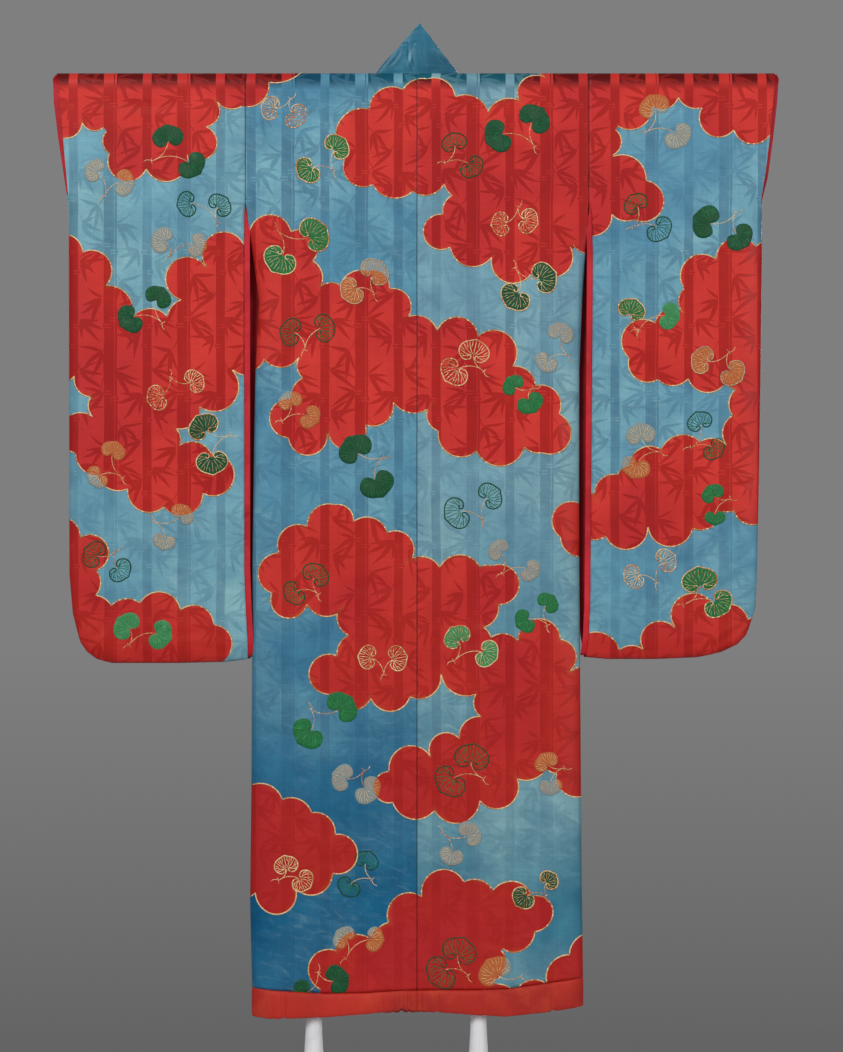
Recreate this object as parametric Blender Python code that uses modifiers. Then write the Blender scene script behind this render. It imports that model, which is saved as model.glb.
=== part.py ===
"""A furisode, the long-sleeved kimono, hung by its shoulders on a plain two-post stand.

Metres, +Z up. The back of the garment faces -Y and the wearer's left is at -X.
The origin is on the floor, under the centre-back seam.

Cloth is a grid of points on its outer side with a wall grown inwards. A grid's rows
run over the shoulder from the back to the front, and its columns run from the middle
of the garment outwards. "Own" distances are measured outwards from the centre-back
seam on a piece's own side, so that the left and the right side share one formula.
Each half of the body is one length of cloth. It is built as a back, a front, a side
and a shoulder, so that each of them is open or flat in one way.
"""

import math

import bmesh
import bpy
import numpy as np

# Driving sizes
SHOULDER_Z = 1.850
WALL = 0.002
LINING_WALL = 0.001
COLLAR_WALL = 0.003
GAP = 0.0003
ROD_CLEAR = 0.0006
ROD_R = 0.017
ROD_HALF = 0.588
OUT_R = ROD_R + ROD_CLEAR + WALL
ROD_Z = SHOULDER_Z - OUT_R

NECK_HALF = 0.082
SIDE_TURN = 0.045
SEAM_HALF = 0.0025
SIDE_SLIT = (1.480, 1.600)
SEAM_TOP = 1.490
ARM_LOW = 1.626

OVERLAP_SEAM = 0.050
OVERLAP_EDGE = -0.100
OVERLAP_TOP = 1.745
UNDER_COLLAR = (0.970, 1.030)
COLLAR_END = 0.996
COLLAR_TOP = 1.830
COLLAR_STAND = 0.0065
COLLAR_STAND_FROM = 1.560
# At the back neck: how far out the seam and the free edge run before they turn over
# the shoulder, how far the free edge falls from the peak, and how both lean forward
BACK_SEAM, BACK_FREE = 0.072, 0.056
BACK_FALL = 0.069
BACK_Y = -0.0006
BACK_LEAN_SEAM, BACK_LEAN_FREE = 0.0035, 0.0052
BACK_CLEAR = 0.0005
COLLAR_SEAM = (-0.045, 0.080)
COLLAR_FREE = (-0.100, 0.045)
COLLAR_TUCK = 0.020
COLLAR_PEAK = (0.005, 1.938)
LIFT_START, LIFT_FULL = 0.175, 0.115

HEM_TOP = 0.247
HEM_HALF_THICK = 0.005
HEM_FADE = 0.640

SLEEVE_FOOT = 0.815
SLEEVE_TURN = 0.045
FOOT_TOP = SLEEVE_FOOT + SLEEVE_TURN
RISE_FADE = 1.080
CUFF_CLOSE = 0.040
CUFF_END = {"left": 1.640, "right": 1.6155}
CUFF_CUT = {"left": 1.640, "right": 1.626}
SEWN_TOP = {"left": 1.600, "right": 1.570}
LINING_WIDTH = 0.040
CUFF_LINING_WIDTH = 0.036
LINING_FOOT = 0.870

POST_X = (-0.181, 0.108)
FOOT_SIZE = (0.060, 0.440, 0.030)
FOOT_BEVEL = 0.005
POST_BASE_R = 0.0235
POST_R = 0.0135
BASE_TOP = 0.250

NECK_COLUMNS = 3
FLAT_COLUMNS = 4
TURN_COLUMNS = 4
SLEEVE_COLUMNS = 5
HEM_RING = 10


def table(columns, rows):
    """Rows of numbers as one array for each named column."""
    return dict(zip(columns.split(), np.array(rows, float).T))


def read(rows, column, place, key="height"):
    return np.interp(place, rows[key], rows[column])


# Half width of the body, at the side seams
BODY_SIDE = table(
    "height left right",
    [
        (0.249, 0.2895, 0.2915),
        (0.400, 0.2930, 0.2895),
        (0.611, 0.2905, 0.2877),
        (1.000, 0.2890, 0.2850),
        (1.125, 0.2870, 0.2845),
        (1.330, 0.2835, 0.2850),
        (1.450, 0.2770, 0.2900),
        (1.533, 0.2885, 0.2965),
        (1.626, 0.3000, 0.3000),
        (1.850, 0.3000, 0.3000),
    ],
)
# How far the outer side of the cloth stands from the middle plane, and how much
# further the left front lies out where it crosses the right one
DEPTH = table(
    "height body sleeve lift",
    [
        (0.240, 0.0240, 0.0120, 0.0120),
        (0.300, 0.0238, 0.0120, 0.0115),
        (0.450, 0.0235, 0.0120, 0.0070),
        (1.000, 0.0225, 0.0130, 0.0070),
        (1.300, 0.0215, 0.0150, 0.0070),
        (1.600, 0.0202, 0.0202, 0.0070),
        (1.680, 0.0200, 0.0200, 0.0070),
        (1.750, 0.0198, 0.0198, 0.0030),
        (1.800, 0.0196, 0.0196, 0.0000),
        (ROD_Z, OUT_R, OUT_R, 0.0000),
    ],
)
# The sleeve's open inner edge and its outer edge, own distances. "Back" is the layer
# at -Y and "front" the layer at +Y, whose edges stand past the back layer's.
SLEEVE_EDGE = {
    "left": table(
        "height inner_back inner_front outer_back outer_front",
        [
            (0.815, 0.2965, 0.2925, 0.5340, 0.5340),
            (0.821, 0.2965, 0.2915, 0.5600, 0.5600),
            (0.835, 0.2965, 0.2910, 0.5790, 0.5790),
            (0.853, 0.2973, 0.2905, 0.5915, 0.5915),
            (0.903, 0.3000, 0.2905, 0.6040, 0.6040),
            (0.973, 0.3025, 0.2905, 0.6100, 0.6100),
            (1.533, 0.3030, 0.2905, 0.6110, 0.6110),
            (1.600, 0.3025, 0.2985, 0.6110, 0.6110),
            (1.626, 0.3003, 0.3003, 0.6110, 0.6120),
            (1.640, 0.3003, 0.3003, 0.6110, 0.6135),
            (1.736, 0.3003, 0.3003, 0.6195, 0.6245),
            (1.800, 0.3003, 0.3003, 0.6245, 0.6310),
            (1.850, 0.3003, 0.3003, 0.6280, 0.6360),
        ],
    ),
    "right": table(
        "height inner_back inner_front outer_back outer_front",
        [
            (0.815, 0.3000, 0.2930, 0.4900, 0.4900),
            (0.821, 0.3010, 0.2920, 0.5300, 0.5300),
            (0.835, 0.3020, 0.2915, 0.5620, 0.5620),
            (0.853, 0.3027, 0.2915, 0.5790, 0.5790),
            (0.903, 0.3035, 0.2920, 0.5940, 0.5940),
            (0.973, 0.3040, 0.2925, 0.5965, 0.5965),
            (1.140, 0.3055, 0.2940, 0.6000, 0.6000),
            (1.270, 0.3065, 0.2950, 0.6020, 0.6020),
            (1.533, 0.3080, 0.2985, 0.6055, 0.6055),
            (1.600, 0.3060, 0.3010, 0.6040, 0.6040),
            (1.626, 0.3003, 0.3003, 0.6020, 0.6065),
            (1.668, 0.3003, 0.3003, 0.6090, 0.6160),
            (1.736, 0.3003, 0.3003, 0.6175, 0.6250),
            (1.800, 0.3003, 0.3003, 0.6235, 0.6315),
            (1.850, 0.3003, 0.3003, 0.6280, 0.6360),
        ],
    ),
}
# How much the sleeve's foot rises along its width
SLEEVE_RISE = table(
    "own left right",
    [
        (0.290, 0.008, 0.011),
        (0.334, 0.002, 0.007),
        (0.420, 0.000, 0.007),
        (0.490, 0.000, 0.010),
        (0.560, 0.000, 0.013),
    ],
)
# The hem roll's upper and lower edge, across the whole garment
HEM_LINE = {
    "back": table(
        "across top bottom",
        [
            (-0.290, 0.2470, 0.2030),
            (-0.252, 0.2430, 0.1925),
            (-0.160, 0.2380, 0.1960),
            (-0.091, 0.2390, 0.2015),
            (-0.026, 0.2430, 0.2080),
            (0.044, 0.2440, 0.2043),
            (0.100, 0.2440, 0.2000),
            (0.156, 0.2460, 0.1970),
            (0.222, 0.2555, 0.2040),
            (0.290, 0.2645, 0.2140),
        ],
    ),
    "front": table(
        "across top bottom",
        [
            (-0.290, 0.2470, 0.2030),
            (-0.200, 0.2440, 0.1950),
            (-0.080, 0.2420, 0.1980),
            (0.000, 0.2430, 0.1990),
            (0.100, 0.2460, 0.2000),
            (0.200, 0.2540, 0.2070),
            (0.290, 0.2645, 0.2140),
        ],
    ),
}
# The collar where it leaves the back neck and turns over the shoulder: the seam's
# angle round the rod from the top, the seam's own distance, and the free edge
COLLAR_TURN = table(
    "angle seam free depth height",
    [
        (25.0, 0.0765, 0.0540, 0.0060, 1.8740),
        (50.0, 0.0785, 0.0505, 0.0180, 1.8680),
        (75.0, 0.0798, 0.0475, 0.0255, 1.8540),
    ],
)
# The post's base: its radius over its height, above the foot
BASE_RADIUS = table(
    "height radius",
    [
        (0.060, 0.0215),
        (0.090, 0.0192),
        (0.135, 0.0165),
        (0.165, 0.0148),
        (0.205, 0.0137),
        (BASE_TOP, POST_R),
    ],
)
PANEL_HEIGHTS = (
    HEM_TOP, 0.310, 0.400, 0.520, 0.640, 0.770, 0.900, 1.030, 1.150, 1.250,
    1.350, 1.440, 1.490, 1.533, 1.580, 1.626, 1.700, 1.750, 1.800, ROD_Z,
)
SLEEVE_HEIGHTS = (
    0.900, 0.970, 1.080, 1.200, 1.320, 1.440, 1.533, 1.570, 1.600, 1.626,
    1.640, 1.680, 1.720, 1.770, ROD_Z,
)
START_TURN = 4.0
END_STEP = 0.003
ARC_ANGLES = (20.0, 40.0, 60.0, 80.0, 100.0, 120.0, 140.0, 160.0)


def smooth(t):
    """0 to 1 with a soft start and end."""
    t = np.clip(t, 0.0, 1.0)
    return t * t * (3.0 - 2.0 * t)


def new_collection(name):
    made = bpy.data.collections.new(name)
    bpy.context.scene.collection.children.link(made)
    return made


def new_material(name, colour, roughness, metallic=0.0):
    made = bpy.data.materials.new(name)
    made.use_nodes = True
    shader = made.node_tree.nodes["Principled BSDF"]
    shader.inputs["Base Color"].default_value = (*colour, 1.0)
    shader.inputs["Roughness"].default_value = roughness
    shader.inputs["Metallic"].default_value = metallic
    return made


def place(obj, collection, material):
    """Puts an object in its collection only, with its material and smooth shading."""
    for other in obj.users_collection:
        other.objects.unlink(obj)
    collection.objects.link(obj)
    obj.data.materials.clear()
    obj.data.materials.append(material)
    obj.data.shade_smooth()
    obj.data.set_sharp_from_angle(angle=math.radians(40.0))
    return obj


def grid_mesh(name, points, keep, flip):
    """A sheet of quads through rows and columns of points, without those not kept."""
    rows, columns = points.shape[:2]
    index = np.arange(rows * columns).reshape(rows, columns)
    quads = np.stack([index[:-1, :-1], index[:-1, 1:], index[1:, 1:], index[1:, :-1]], axis=-1)
    quads = quads[keep] if keep is not None else quads.reshape(-1, 4)
    if flip:
        quads = quads[:, ::-1]
    used, faces = np.unique(quads, return_inverse=True)
    mesh = bpy.data.meshes.new(name)
    mesh.from_pydata(points.reshape(-1, 3)[used].tolist(), [], faces.reshape(-1, 4).tolist())
    return mesh


def cloth(name, side, points, material, thickness=WALL, offset=-1.0, keep=None, flip=False):
    """One sewn piece: own points on a grid, mirrored for the left, with a wall."""
    placed = points.copy()
    if side == "left":
        placed[..., 0] *= -1.0
    mesh = grid_mesh(name, placed, keep, flip=(side == "left") != flip)
    obj = place(bpy.data.objects.new(name, mesh), PARTS, material)
    wall = obj.modifiers.new("Wall", "SOLIDIFY")
    wall.thickness = thickness
    wall.offset = offset
    wall.use_even_offset = True
    wall.use_quality_normals = True
    return obj


def across(side, own):
    """Own distance as an X place."""
    return -own if side == "left" else own


def hem_shift(side, face, own, height):
    """How far a row is lowered or raised to follow the hem roll's upper edge."""
    line = read(HEM_LINE[face], "top", across(side, own), key="across") - HEM_TOP
    return line * np.clip((HEM_FADE - height) / (HEM_FADE - HEM_TOP), 0.0, 1.0)


def collar_line(ends, height):
    """Own distance of a straight collar line that runs up the front."""
    return ends[0] + (ends[1] - ends[0]) * (height - COLLAR_END) / (COLLAR_TOP - COLLAR_END)


def panel_edge(height):
    """The front panel's middle edge: the overlap's seam, and above it the collar's."""
    return np.maximum(OVERLAP_SEAM + GAP / 2, collar_line(COLLAR_SEAM, height) - COLLAR_TUCK)


def front_y(side, own, height):
    """Outer side of a front where it hangs flat. The left one lies over the right."""
    lift = read(DEPTH, "lift", height) if side == "left" else 0.0
    share = smooth((LIFT_START - own) / (LIFT_START - LIFT_FULL))
    return read(DEPTH, "body", height) + lift * share


def side_columns(edge, turn, closed, depth):
    """Own distances and depths of the columns that turn in to a seam at the edge.

    Closed, they follow a quarter ellipse and end in a square seam. Open, they stay flat.
    """
    angle = np.linspace(0.0, math.pi / 2, TURN_COLUMNS + 1)[1:]
    own_closed = np.append(edge - turn + turn * np.sin(angle), edge)
    deep_closed = np.append(SEAM_HALF + (depth - SEAM_HALF) * np.cos(angle), GAP / 2)
    own_open = edge - turn + turn * np.arange(1, TURN_COLUMNS + 2) / (TURN_COLUMNS + 1)
    own = own_open + closed * (own_closed - own_open)
    return own, depth + closed * (deep_closed - depth)


def body_row(side, face, height, inner, corner):
    """Own distances and depths of one row of a body panel at a height."""
    edge = read(BODY_SIDE, side, height)
    low, high = SIDE_SLIT
    closed = smooth((high - height) / (high - low))
    neck = np.linspace(inner, corner, NECK_COLUMNS + 1)
    flat = np.linspace(corner, edge - SIDE_TURN, FLAT_COLUMNS + 1)[1:]
    own_turn, deep_turn = side_columns(edge, SIDE_TURN, closed, read(DEPTH, "body", height))
    own = np.concatenate([neck, flat, own_turn])
    if face == "back":
        deep_flat = np.full(NECK_COLUMNS + FLAT_COLUMNS + 1, read(DEPTH, "body", height))
    else:
        deep_flat = front_y(side, np.concatenate([neck, flat]), height)
    return own, np.concatenate([deep_flat, deep_turn])


def body_rows(side, face, heights):
    """Rows of a back or a front where it hangs below the rod."""
    sign = -1.0 if face == "back" else 1.0
    rows = []
    for height in heights:
        if face == "back":
            own, deep = body_row(side, face, height, GAP / 2, NECK_HALF)
        else:
            corner = float(panel_edge(height))
            own, deep = body_row(side, face, height, GAP / 2, corner)
        level = height + hem_shift(side, face, own, height)
        rows.append(np.stack([own, sign * deep, level], axis=1))
    return np.array(rows)


def body_back(side):
    """A back, from the seam in the middle to where the side turns in, and above the
    armhole's lower end out to the sleeve."""
    points = body_rows(side, "back", PANEL_HEIGHTS)
    keep = np.ones((points.shape[0] - 1, points.shape[1] - 1), bool)
    below_arm = PANEL_HEIGHTS.index(ARM_LOW)
    keep[:below_arm, NECK_COLUMNS + FLAT_COLUMNS:] = False
    return cloth(f"body_back_{side}", side, points, SILK, keep=keep)


def body_front(side):
    """A front, from the overlap's or the collar's seam outwards, like the back."""
    points = body_rows(side, "front", PANEL_HEIGHTS[::-1])
    keep = np.ones((points.shape[0] - 1, points.shape[1] - 1), bool)
    keep[:, :NECK_COLUMNS] = False
    above_arm = PANEL_HEIGHTS[::-1].index(ARM_LOW)
    keep[above_arm:, NECK_COLUMNS + FLAT_COLUMNS:] = False
    return cloth(f"body_front_{side}", side, points, SILK, keep=keep)


def body_side(side):
    """The cloth that turns round the side seam, open above it below the armhole."""
    heights = [min(height, ARM_LOW - GAP) for height in PANEL_HEIGHTS if height <= ARM_LOW]
    first = NECK_COLUMNS + FLAT_COLUMNS
    back = body_rows(side, "back", heights)[:, first:-1]
    front = body_rows(side, "front", heights)[:, first:-1]
    back[:, 0, 0] += GAP
    front[:, 0, 0] += GAP
    points = np.concatenate([back, front[:, ::-1]], axis=1)
    keep = np.ones((points.shape[0] - 1, points.shape[1] - 1), bool)
    keep[PANEL_HEIGHTS.index(SEAM_TOP):, TURN_COLUMNS] = False
    return cloth(f"body_side_{side}", side, points, SILK, keep=keep)


def body_shoulder(side):
    """The cloth that passes over the rod, with the neck cut out of its front half."""
    rows = []
    neck_rows = 0
    lift = math.degrees(GAP / OUT_R)
    ends = (lift, START_TURN)
    for angle in (*ends, *ARC_ANGLES, *[180.0 - angle for angle in ends[::-1]]):
        turn = math.radians(angle)
        if angle < 90.0:
            corner = NECK_HALF
            neck_rows = len(rows)
        else:
            share = (angle - 90.0) / 90.0
            corner = NECK_HALF + (panel_edge(ROD_Z) - NECK_HALF) * share
        own, _ = body_row(side, "back", ROD_Z, GAP / 2, corner)
        depth = np.full(len(own), -OUT_R * math.cos(turn))
        rows.append(np.stack([own, depth, np.full(len(own), ROD_Z + OUT_R * math.sin(turn))], axis=1))
    points = np.array(rows)
    keep = np.ones((points.shape[0] - 1, points.shape[1] - 1), bool)
    keep[neck_rows:, :NECK_COLUMNS] = False
    return cloth(f"body_shoulder_{side}", side, points, SILK, keep=keep)


def overlap_panel(side):
    """The half-width panel sewn to a front's edge, running up under the collar."""
    rows = []
    for height in (OVERLAP_TOP, *[h for h in PANEL_HEIGHTS[::-1] if h <= OVERLAP_TOP]):
        under_collar = float(collar_line(COLLAR_SEAM, height)) - COLLAR_TUCK
        share = smooth((height - UNDER_COLLAR[0]) / (UNDER_COLLAR[1] - UNDER_COLLAR[0]))
        edge = OVERLAP_EDGE + share * (under_collar - OVERLAP_EDGE)
        own = np.linspace(edge, OVERLAP_SEAM - GAP / 2, FLAT_COLUMNS)
        lower = height + hem_shift(side, "front", own, height)
        rows.append(np.stack([own, front_y(side, own, height), lower], axis=1))
    return cloth(f"overlap_{side}", side, np.array(rows), SILK)


def collar_strip(side):
    """Half of the collar: it stands in a peak at the back neck, turns over the shoulder
    and lies on the front. A row runs from its free edge to its seam."""
    peak_own = across(side, COLLAR_PEAK[0])
    rows = []
    for share in np.linspace(0.0, 1.0, 5):
        seam_own = GAP / 2 + (BACK_SEAM - GAP / 2) * share
        free_own = peak_own + GAP / 2 + (BACK_FREE - peak_own) * share
        seam = np.array([seam_own, BACK_Y + BACK_LEAN_SEAM * share**2, ROD_Z + ROD_R + BACK_CLEAR])
        free = np.array([free_own, BACK_Y + BACK_LEAN_FREE * share**2, COLLAR_PEAK[1] - BACK_FALL * share])
        rows.append((free, seam))
    reach = OUT_R + GAP + COLLAR_WALL / 2
    for angle, seam_own, free_own, depth, height in zip(*COLLAR_TURN.values()):
        turn = math.radians(angle)
        seam = np.array([seam_own, reach * math.sin(turn), ROD_Z + reach * math.cos(turn)])
        rows.append((np.array([free_own, depth, height]), seam))
    below = [h for h in PANEL_HEIGHTS if COLLAR_END < h < COLLAR_TOP]
    for height in (COLLAR_TOP, *below[::-1], COLLAR_END):
        stand = COLLAR_STAND * smooth((height - COLLAR_STAND_FROM) / (COLLAR_TOP - COLLAR_STAND_FROM))
        seam_own = collar_line(COLLAR_SEAM, height)
        free_own = collar_line(COLLAR_FREE, height)
        lie = GAP + COLLAR_WALL / 2
        seam = np.array([seam_own, front_y(side, seam_own, height) + lie, height])
        free = np.array([free_own, front_y(side, free_own, height) + lie + stand, height])
        rows.append((free, seam))
    steps = np.linspace(0.0, 1.0, 4)[:, None]
    points = np.array([free + (seam - free) * steps for free, seam in rows])
    return cloth(f"collar_{side}", side, points, COLLAR_SILK, COLLAR_WALL, offset=0.0)


def sleeve_own(side, face, height, closed):
    """Own distances and depths of one row of a sleeve's layer."""
    edges = SLEEVE_EDGE[side]
    inner = read(edges, f"inner_{face}", height)
    outer = read(edges, f"outer_{face}", height)
    depth = read(DEPTH, "sleeve", height)
    flat = np.linspace(inner, outer - SIDE_TURN, SLEEVE_COLUMNS + 1)
    own_turn, deep_turn = side_columns(outer, SIDE_TURN, closed, depth)
    return np.concatenate([flat, own_turn]), np.concatenate([np.full(len(flat), depth), deep_turn])


def sleeve_rows(side, face, heights):
    """Rows of a sleeve's layer above its foot."""
    sign = -1.0 if face == "back" else 1.0
    rows = []
    for height in heights:
        closed = smooth((CUFF_END[side] - height) / CUFF_CLOSE)
        own, deep = sleeve_own(side, face, height, closed)
        fade = np.clip((RISE_FADE - height) / (RISE_FADE - FOOT_TOP), 0.0, 1.0)
        rise = read(SLEEVE_RISE, side, own, key="own") * fade
        rows.append(np.stack([own, sign * deep, height + rise], axis=1))
    return np.array(rows)


def sleeve_layer(side, face):
    """A flat layer, from the foot up to the rod. Above the sewn edge it runs out to the
    cuff."""
    heights = [FOOT_TOP + GAP, *SLEEVE_HEIGHTS]
    keep = np.ones((len(heights) - 1, SLEEVE_COLUMNS + TURN_COLUMNS + 1), bool)
    keep[:heights.index(CUFF_CUT[side]), SLEEVE_COLUMNS:] = False
    points = sleeve_rows(side, face, heights)
    if face == "front":
        points, keep = points[::-1], keep[::-1]
    return cloth(f"sleeve_{face}_{side}", side, points, SILK, keep=keep)


def sleeve_edge(side):
    """The cloth that turns round the sewn outer edge, from the foot up to the cuff."""
    heights = [FOOT_TOP + GAP, *[height for height in SLEEVE_HEIGHTS if height <= CUFF_CUT[side]]]
    sewn_rows = heights.index(SEWN_TOP[side])
    heights[-1:] = [CUFF_CUT[side] - END_STEP, CUFF_CUT[side] - GAP]
    back = sleeve_rows(side, "back", heights)[:, SLEEVE_COLUMNS:-1]
    front = sleeve_rows(side, "front", heights)[:, SLEEVE_COLUMNS:-1]
    back[:, 0, 0] += GAP
    front[:, 0, 0] += GAP
    points = np.concatenate([back, front[:, ::-1]], axis=1)
    keep = np.ones((points.shape[0] - 1, points.shape[1] - 1), bool)
    keep[sewn_rows:, TURN_COLUMNS] = False
    return cloth(f"sleeve_edge_{side}", side, points, SILK, keep=keep)


def sleeve_foot(side):
    """The cloth that turns round the sewn foot, with the rounded outer corner."""
    layers = []
    for face, sign in (("back", -1.0), ("front", 1.0)):
        rows = []
        for angle in (0.0, START_TURN, 30.0, 60.0, 90.0):
            height = FOOT_TOP - SLEEVE_TURN * math.sin(math.radians(angle))
            own, deep = sleeve_own(side, face, height, 1.0)
            deep = SEAM_HALF + (deep - SEAM_HALF) * math.cos(math.radians(angle))
            rise = read(SLEEVE_RISE, side, own, key="own")
            rows.append(np.stack([own, sign * deep, height + rise], axis=1)[:-1])
        layers.append(rows)
    points = np.array(layers[0] + layers[1][::-1])
    return cloth(f"sleeve_foot_{side}", side, points, SILK, flip=True)


def sleeve_shoulder(side):
    """The cloth that passes over the rod, with the two layers' edges shifting across."""
    lift = math.degrees(GAP / OUT_R)
    ends = (lift, START_TURN)
    rows = []
    for angle in (*ends, *ARC_ANGLES, *[180.0 - angle for angle in ends[::-1]]):
        turn = math.radians(angle)
        height = ROD_Z + OUT_R * math.sin(turn)
        near, _ = sleeve_own(side, "back", height, 0.0)
        far, _ = sleeve_own(side, "front", height, 0.0)
        own = near + (far - near) * smooth(angle / 180.0)
        depth = np.full(len(own), -OUT_R * math.cos(turn))
        rows.append(np.stack([own, depth, np.full(len(own), height)], axis=1))
    return cloth(f"sleeve_shoulder_{side}", side, np.array(rows), SILK)


def sleeve_lining_opening(side):
    """The strip of lining that shows past the back layer at the open inner edge."""
    edges = SLEEVE_EDGE[side]
    rows = []
    for height in (1.600, 1.533, 1.440, 1.320, 1.200, 1.080, 0.970, 0.900, LINING_FOOT):
        inner = read(edges, "inner_front", height)
        own = np.array([inner, inner + LINING_WIDTH])
        depth = np.full(2, read(DEPTH, "sleeve", height) - WALL - GAP)
        rows.append(np.stack([own, depth, np.full(2, height)], axis=1))
    return cloth(f"lining_opening_{side}", side, np.array(rows), LINING, LINING_WALL)


def sleeve_lining_cuff(side):
    """The strip of lining that shows past the back layer at the cuff."""
    edges = SLEEVE_EDGE[side]
    reach = OUT_R - WALL - GAP
    rows = []
    for angle in [a for a in ARC_ANGLES if a > 90.0]:
        turn = math.radians(angle)
        height = ROD_Z + OUT_R * math.sin(turn)
        near = read(edges, "outer_back", height)
        outer = near + (read(edges, "outer_front", height) - near) * smooth(angle / 180.0)
        own = np.array([outer - CUFF_LINING_WIDTH, outer])
        depth = np.full(2, -reach * math.cos(turn))
        rows.append(np.stack([own, depth, np.full(2, ROD_Z + reach * math.sin(turn))], axis=1))
    for height in [h for h in SLEEVE_HEIGHTS[::-1] if h >= CUFF_END[side]]:
        outer = read(edges, "outer_front", height)
        own = np.array([outer - CUFF_LINING_WIDTH, outer])
        depth = np.full(2, read(DEPTH, "sleeve", height) - WALL - GAP)
        rows.append(np.stack([own, depth, np.full(2, height)], axis=1))
    return cloth(f"lining_cuff_{side}", side, np.array(rows), LINING, LINING_WALL)


def hem_roll(name, side, face, start, end):
    """A padded roll below a panel: rounded sections carried along the panel's middle.

    It runs from one own distance to another. An end of None turns in to the side seam.
    """
    depth = float(read(DEPTH, "body", HEM_TOP)) - WALL / 2
    edge = float(read(BODY_SIDE, side, HEM_TOP)) - WALL / 2
    stop = edge - SIDE_TURN if end is None else end
    own = np.linspace(start, stop, 7)
    if face == "back":
        deep = np.full(len(own), depth)
    else:
        deep = front_y(side, own, HEM_TOP) - WALL / 2
    if end is None:
        own_turn, deep_turn = side_columns(edge, SIDE_TURN, 1.0, depth)
        own = np.concatenate([own, own_turn])
        deep = np.concatenate([deep, deep_turn])
    sign = -1.0 if face == "back" else 1.0
    path = np.stack([own, sign * deep], axis=1)
    ahead = np.gradient(path, axis=0)
    ahead /= np.linalg.norm(ahead, axis=1)[:, None]
    outward = np.stack([-ahead[:, 1], ahead[:, 0]], axis=1) * sign
    line = HEM_LINE[face]
    top = read(line, "top", across(side, own), key="across") - GAP
    bottom = read(line, "bottom", across(side, own), key="across")
    ring = np.linspace(0.0, 2.0 * math.pi, HEM_RING, endpoint=False)
    wide = np.sign(np.cos(ring)) * np.abs(np.cos(ring)) ** 0.8
    tall = np.sign(np.sin(ring)) * np.abs(np.sin(ring)) ** 0.8
    points = np.empty((len(own), HEM_RING, 3))
    points[..., :2] = path[:, None] + outward[:, None] * (wide * HEM_HALF_THICK)[None, :, None]
    points[..., 2] = (top + bottom)[:, None] / 2 + (top - bottom)[:, None] / 2 * tall
    if side == "left":
        points[..., 0] *= -1.0
    made = bmesh.new()
    rings = [[made.verts.new(point) for point in ring_points] for ring_points in points]
    for here, there in zip(rings, rings[1:]):
        for k in range(HEM_RING):
            n = (k + 1) % HEM_RING
            made.faces.new((here[k], here[n], there[n], there[k]))
    made.faces.new(rings[0][::-1])
    made.faces.new(rings[-1])
    bmesh.ops.recalc_face_normals(made, faces=made.faces[:])
    mesh = bpy.data.meshes.new(name)
    made.to_mesh(mesh)
    made.free()
    return place(bpy.data.objects.new(name, mesh), PARTS, HEM_SILK)


def stand_rod():
    bpy.ops.mesh.primitive_cylinder_add(vertices=40, radius=ROD_R, depth=2 * ROD_HALF)
    obj = bpy.context.object
    obj.name = "stand_rod"
    obj.location = (0.0, 0.0, ROD_Z)
    obj.rotation_euler = (0.0, math.pi / 2, 0.0)
    return place(obj, PARTS, STAND_PAINT)


def turned_piece(name, x, radii, heights):
    """A piece turned round an upright axis, from radii at heights going down."""
    profile = [(0.0, heights[0]), *zip(radii, heights), (0.0, heights[-1])]
    mesh = bpy.data.meshes.new(name)
    edges = [(k, k + 1) for k in range(len(profile) - 1)]
    mesh.from_pydata([(radius, 0.0, height) for radius, height in profile], edges, [])
    obj = bpy.data.objects.new(name, mesh)
    place(obj, PARTS, STAND_PAINT)
    obj.location = (x, 0.0, 0.0)
    turned = obj.modifiers.new("Turned", "SCREW")
    turned.steps = 28
    turned.render_steps = 28
    turned.use_merge_vertices = True
    turned.merge_threshold = 0.00001
    return obj


def stand_post(name, x, cutter):
    """A plain turned post, with its top hollowed to take the rod."""
    obj = turned_piece(name, x, [POST_R, POST_R], [ROD_Z, BASE_TOP + GAP])
    seat = obj.modifiers.new("Rod seat", "BOOLEAN")
    seat.object = cutter
    return obj


def stand_base(name, x):
    """The turned base that flares from the post to the foot."""
    foot_top = FOOT_SIZE[2] + GAP
    radii = [*BASE_RADIUS["radius"][::-1], POST_BASE_R]
    heights = [*BASE_RADIUS["height"][::-1], foot_top]
    return turned_piece(name, x, radii, heights)


def rod_cutter():
    bpy.ops.mesh.primitive_cylinder_add(vertices=40, radius=ROD_R + GAP, depth=0.6)
    obj = bpy.context.object
    obj.name = "rod_seat_cutter"
    obj.location = (0.0, 0.0, ROD_Z)
    obj.rotation_euler = (0.0, math.pi / 2, 0.0)
    place(obj, CUTTERS, STAND_PAINT)
    obj.hide_render = True
    obj.display_type = "WIRE"
    return obj


def stand_foot(name, x):
    """A flat bar across the stand, under its post."""
    bpy.ops.mesh.primitive_cube_add(size=1.0)
    obj = bpy.context.object
    obj.name = name
    for corner in obj.data.vertices:
        corner.co = [corner.co[k] * FOOT_SIZE[k] for k in range(3)]
    obj.location = (x, 0.0, FOOT_SIZE[2] / 2)
    edges = obj.modifiers.new("Edges", "BEVEL")
    edges.width = FOOT_BEVEL
    edges.segments = 3
    return place(obj, PARTS, STAND_PAINT)


for leftover in list(bpy.data.objects):
    bpy.data.objects.remove(leftover)

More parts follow.
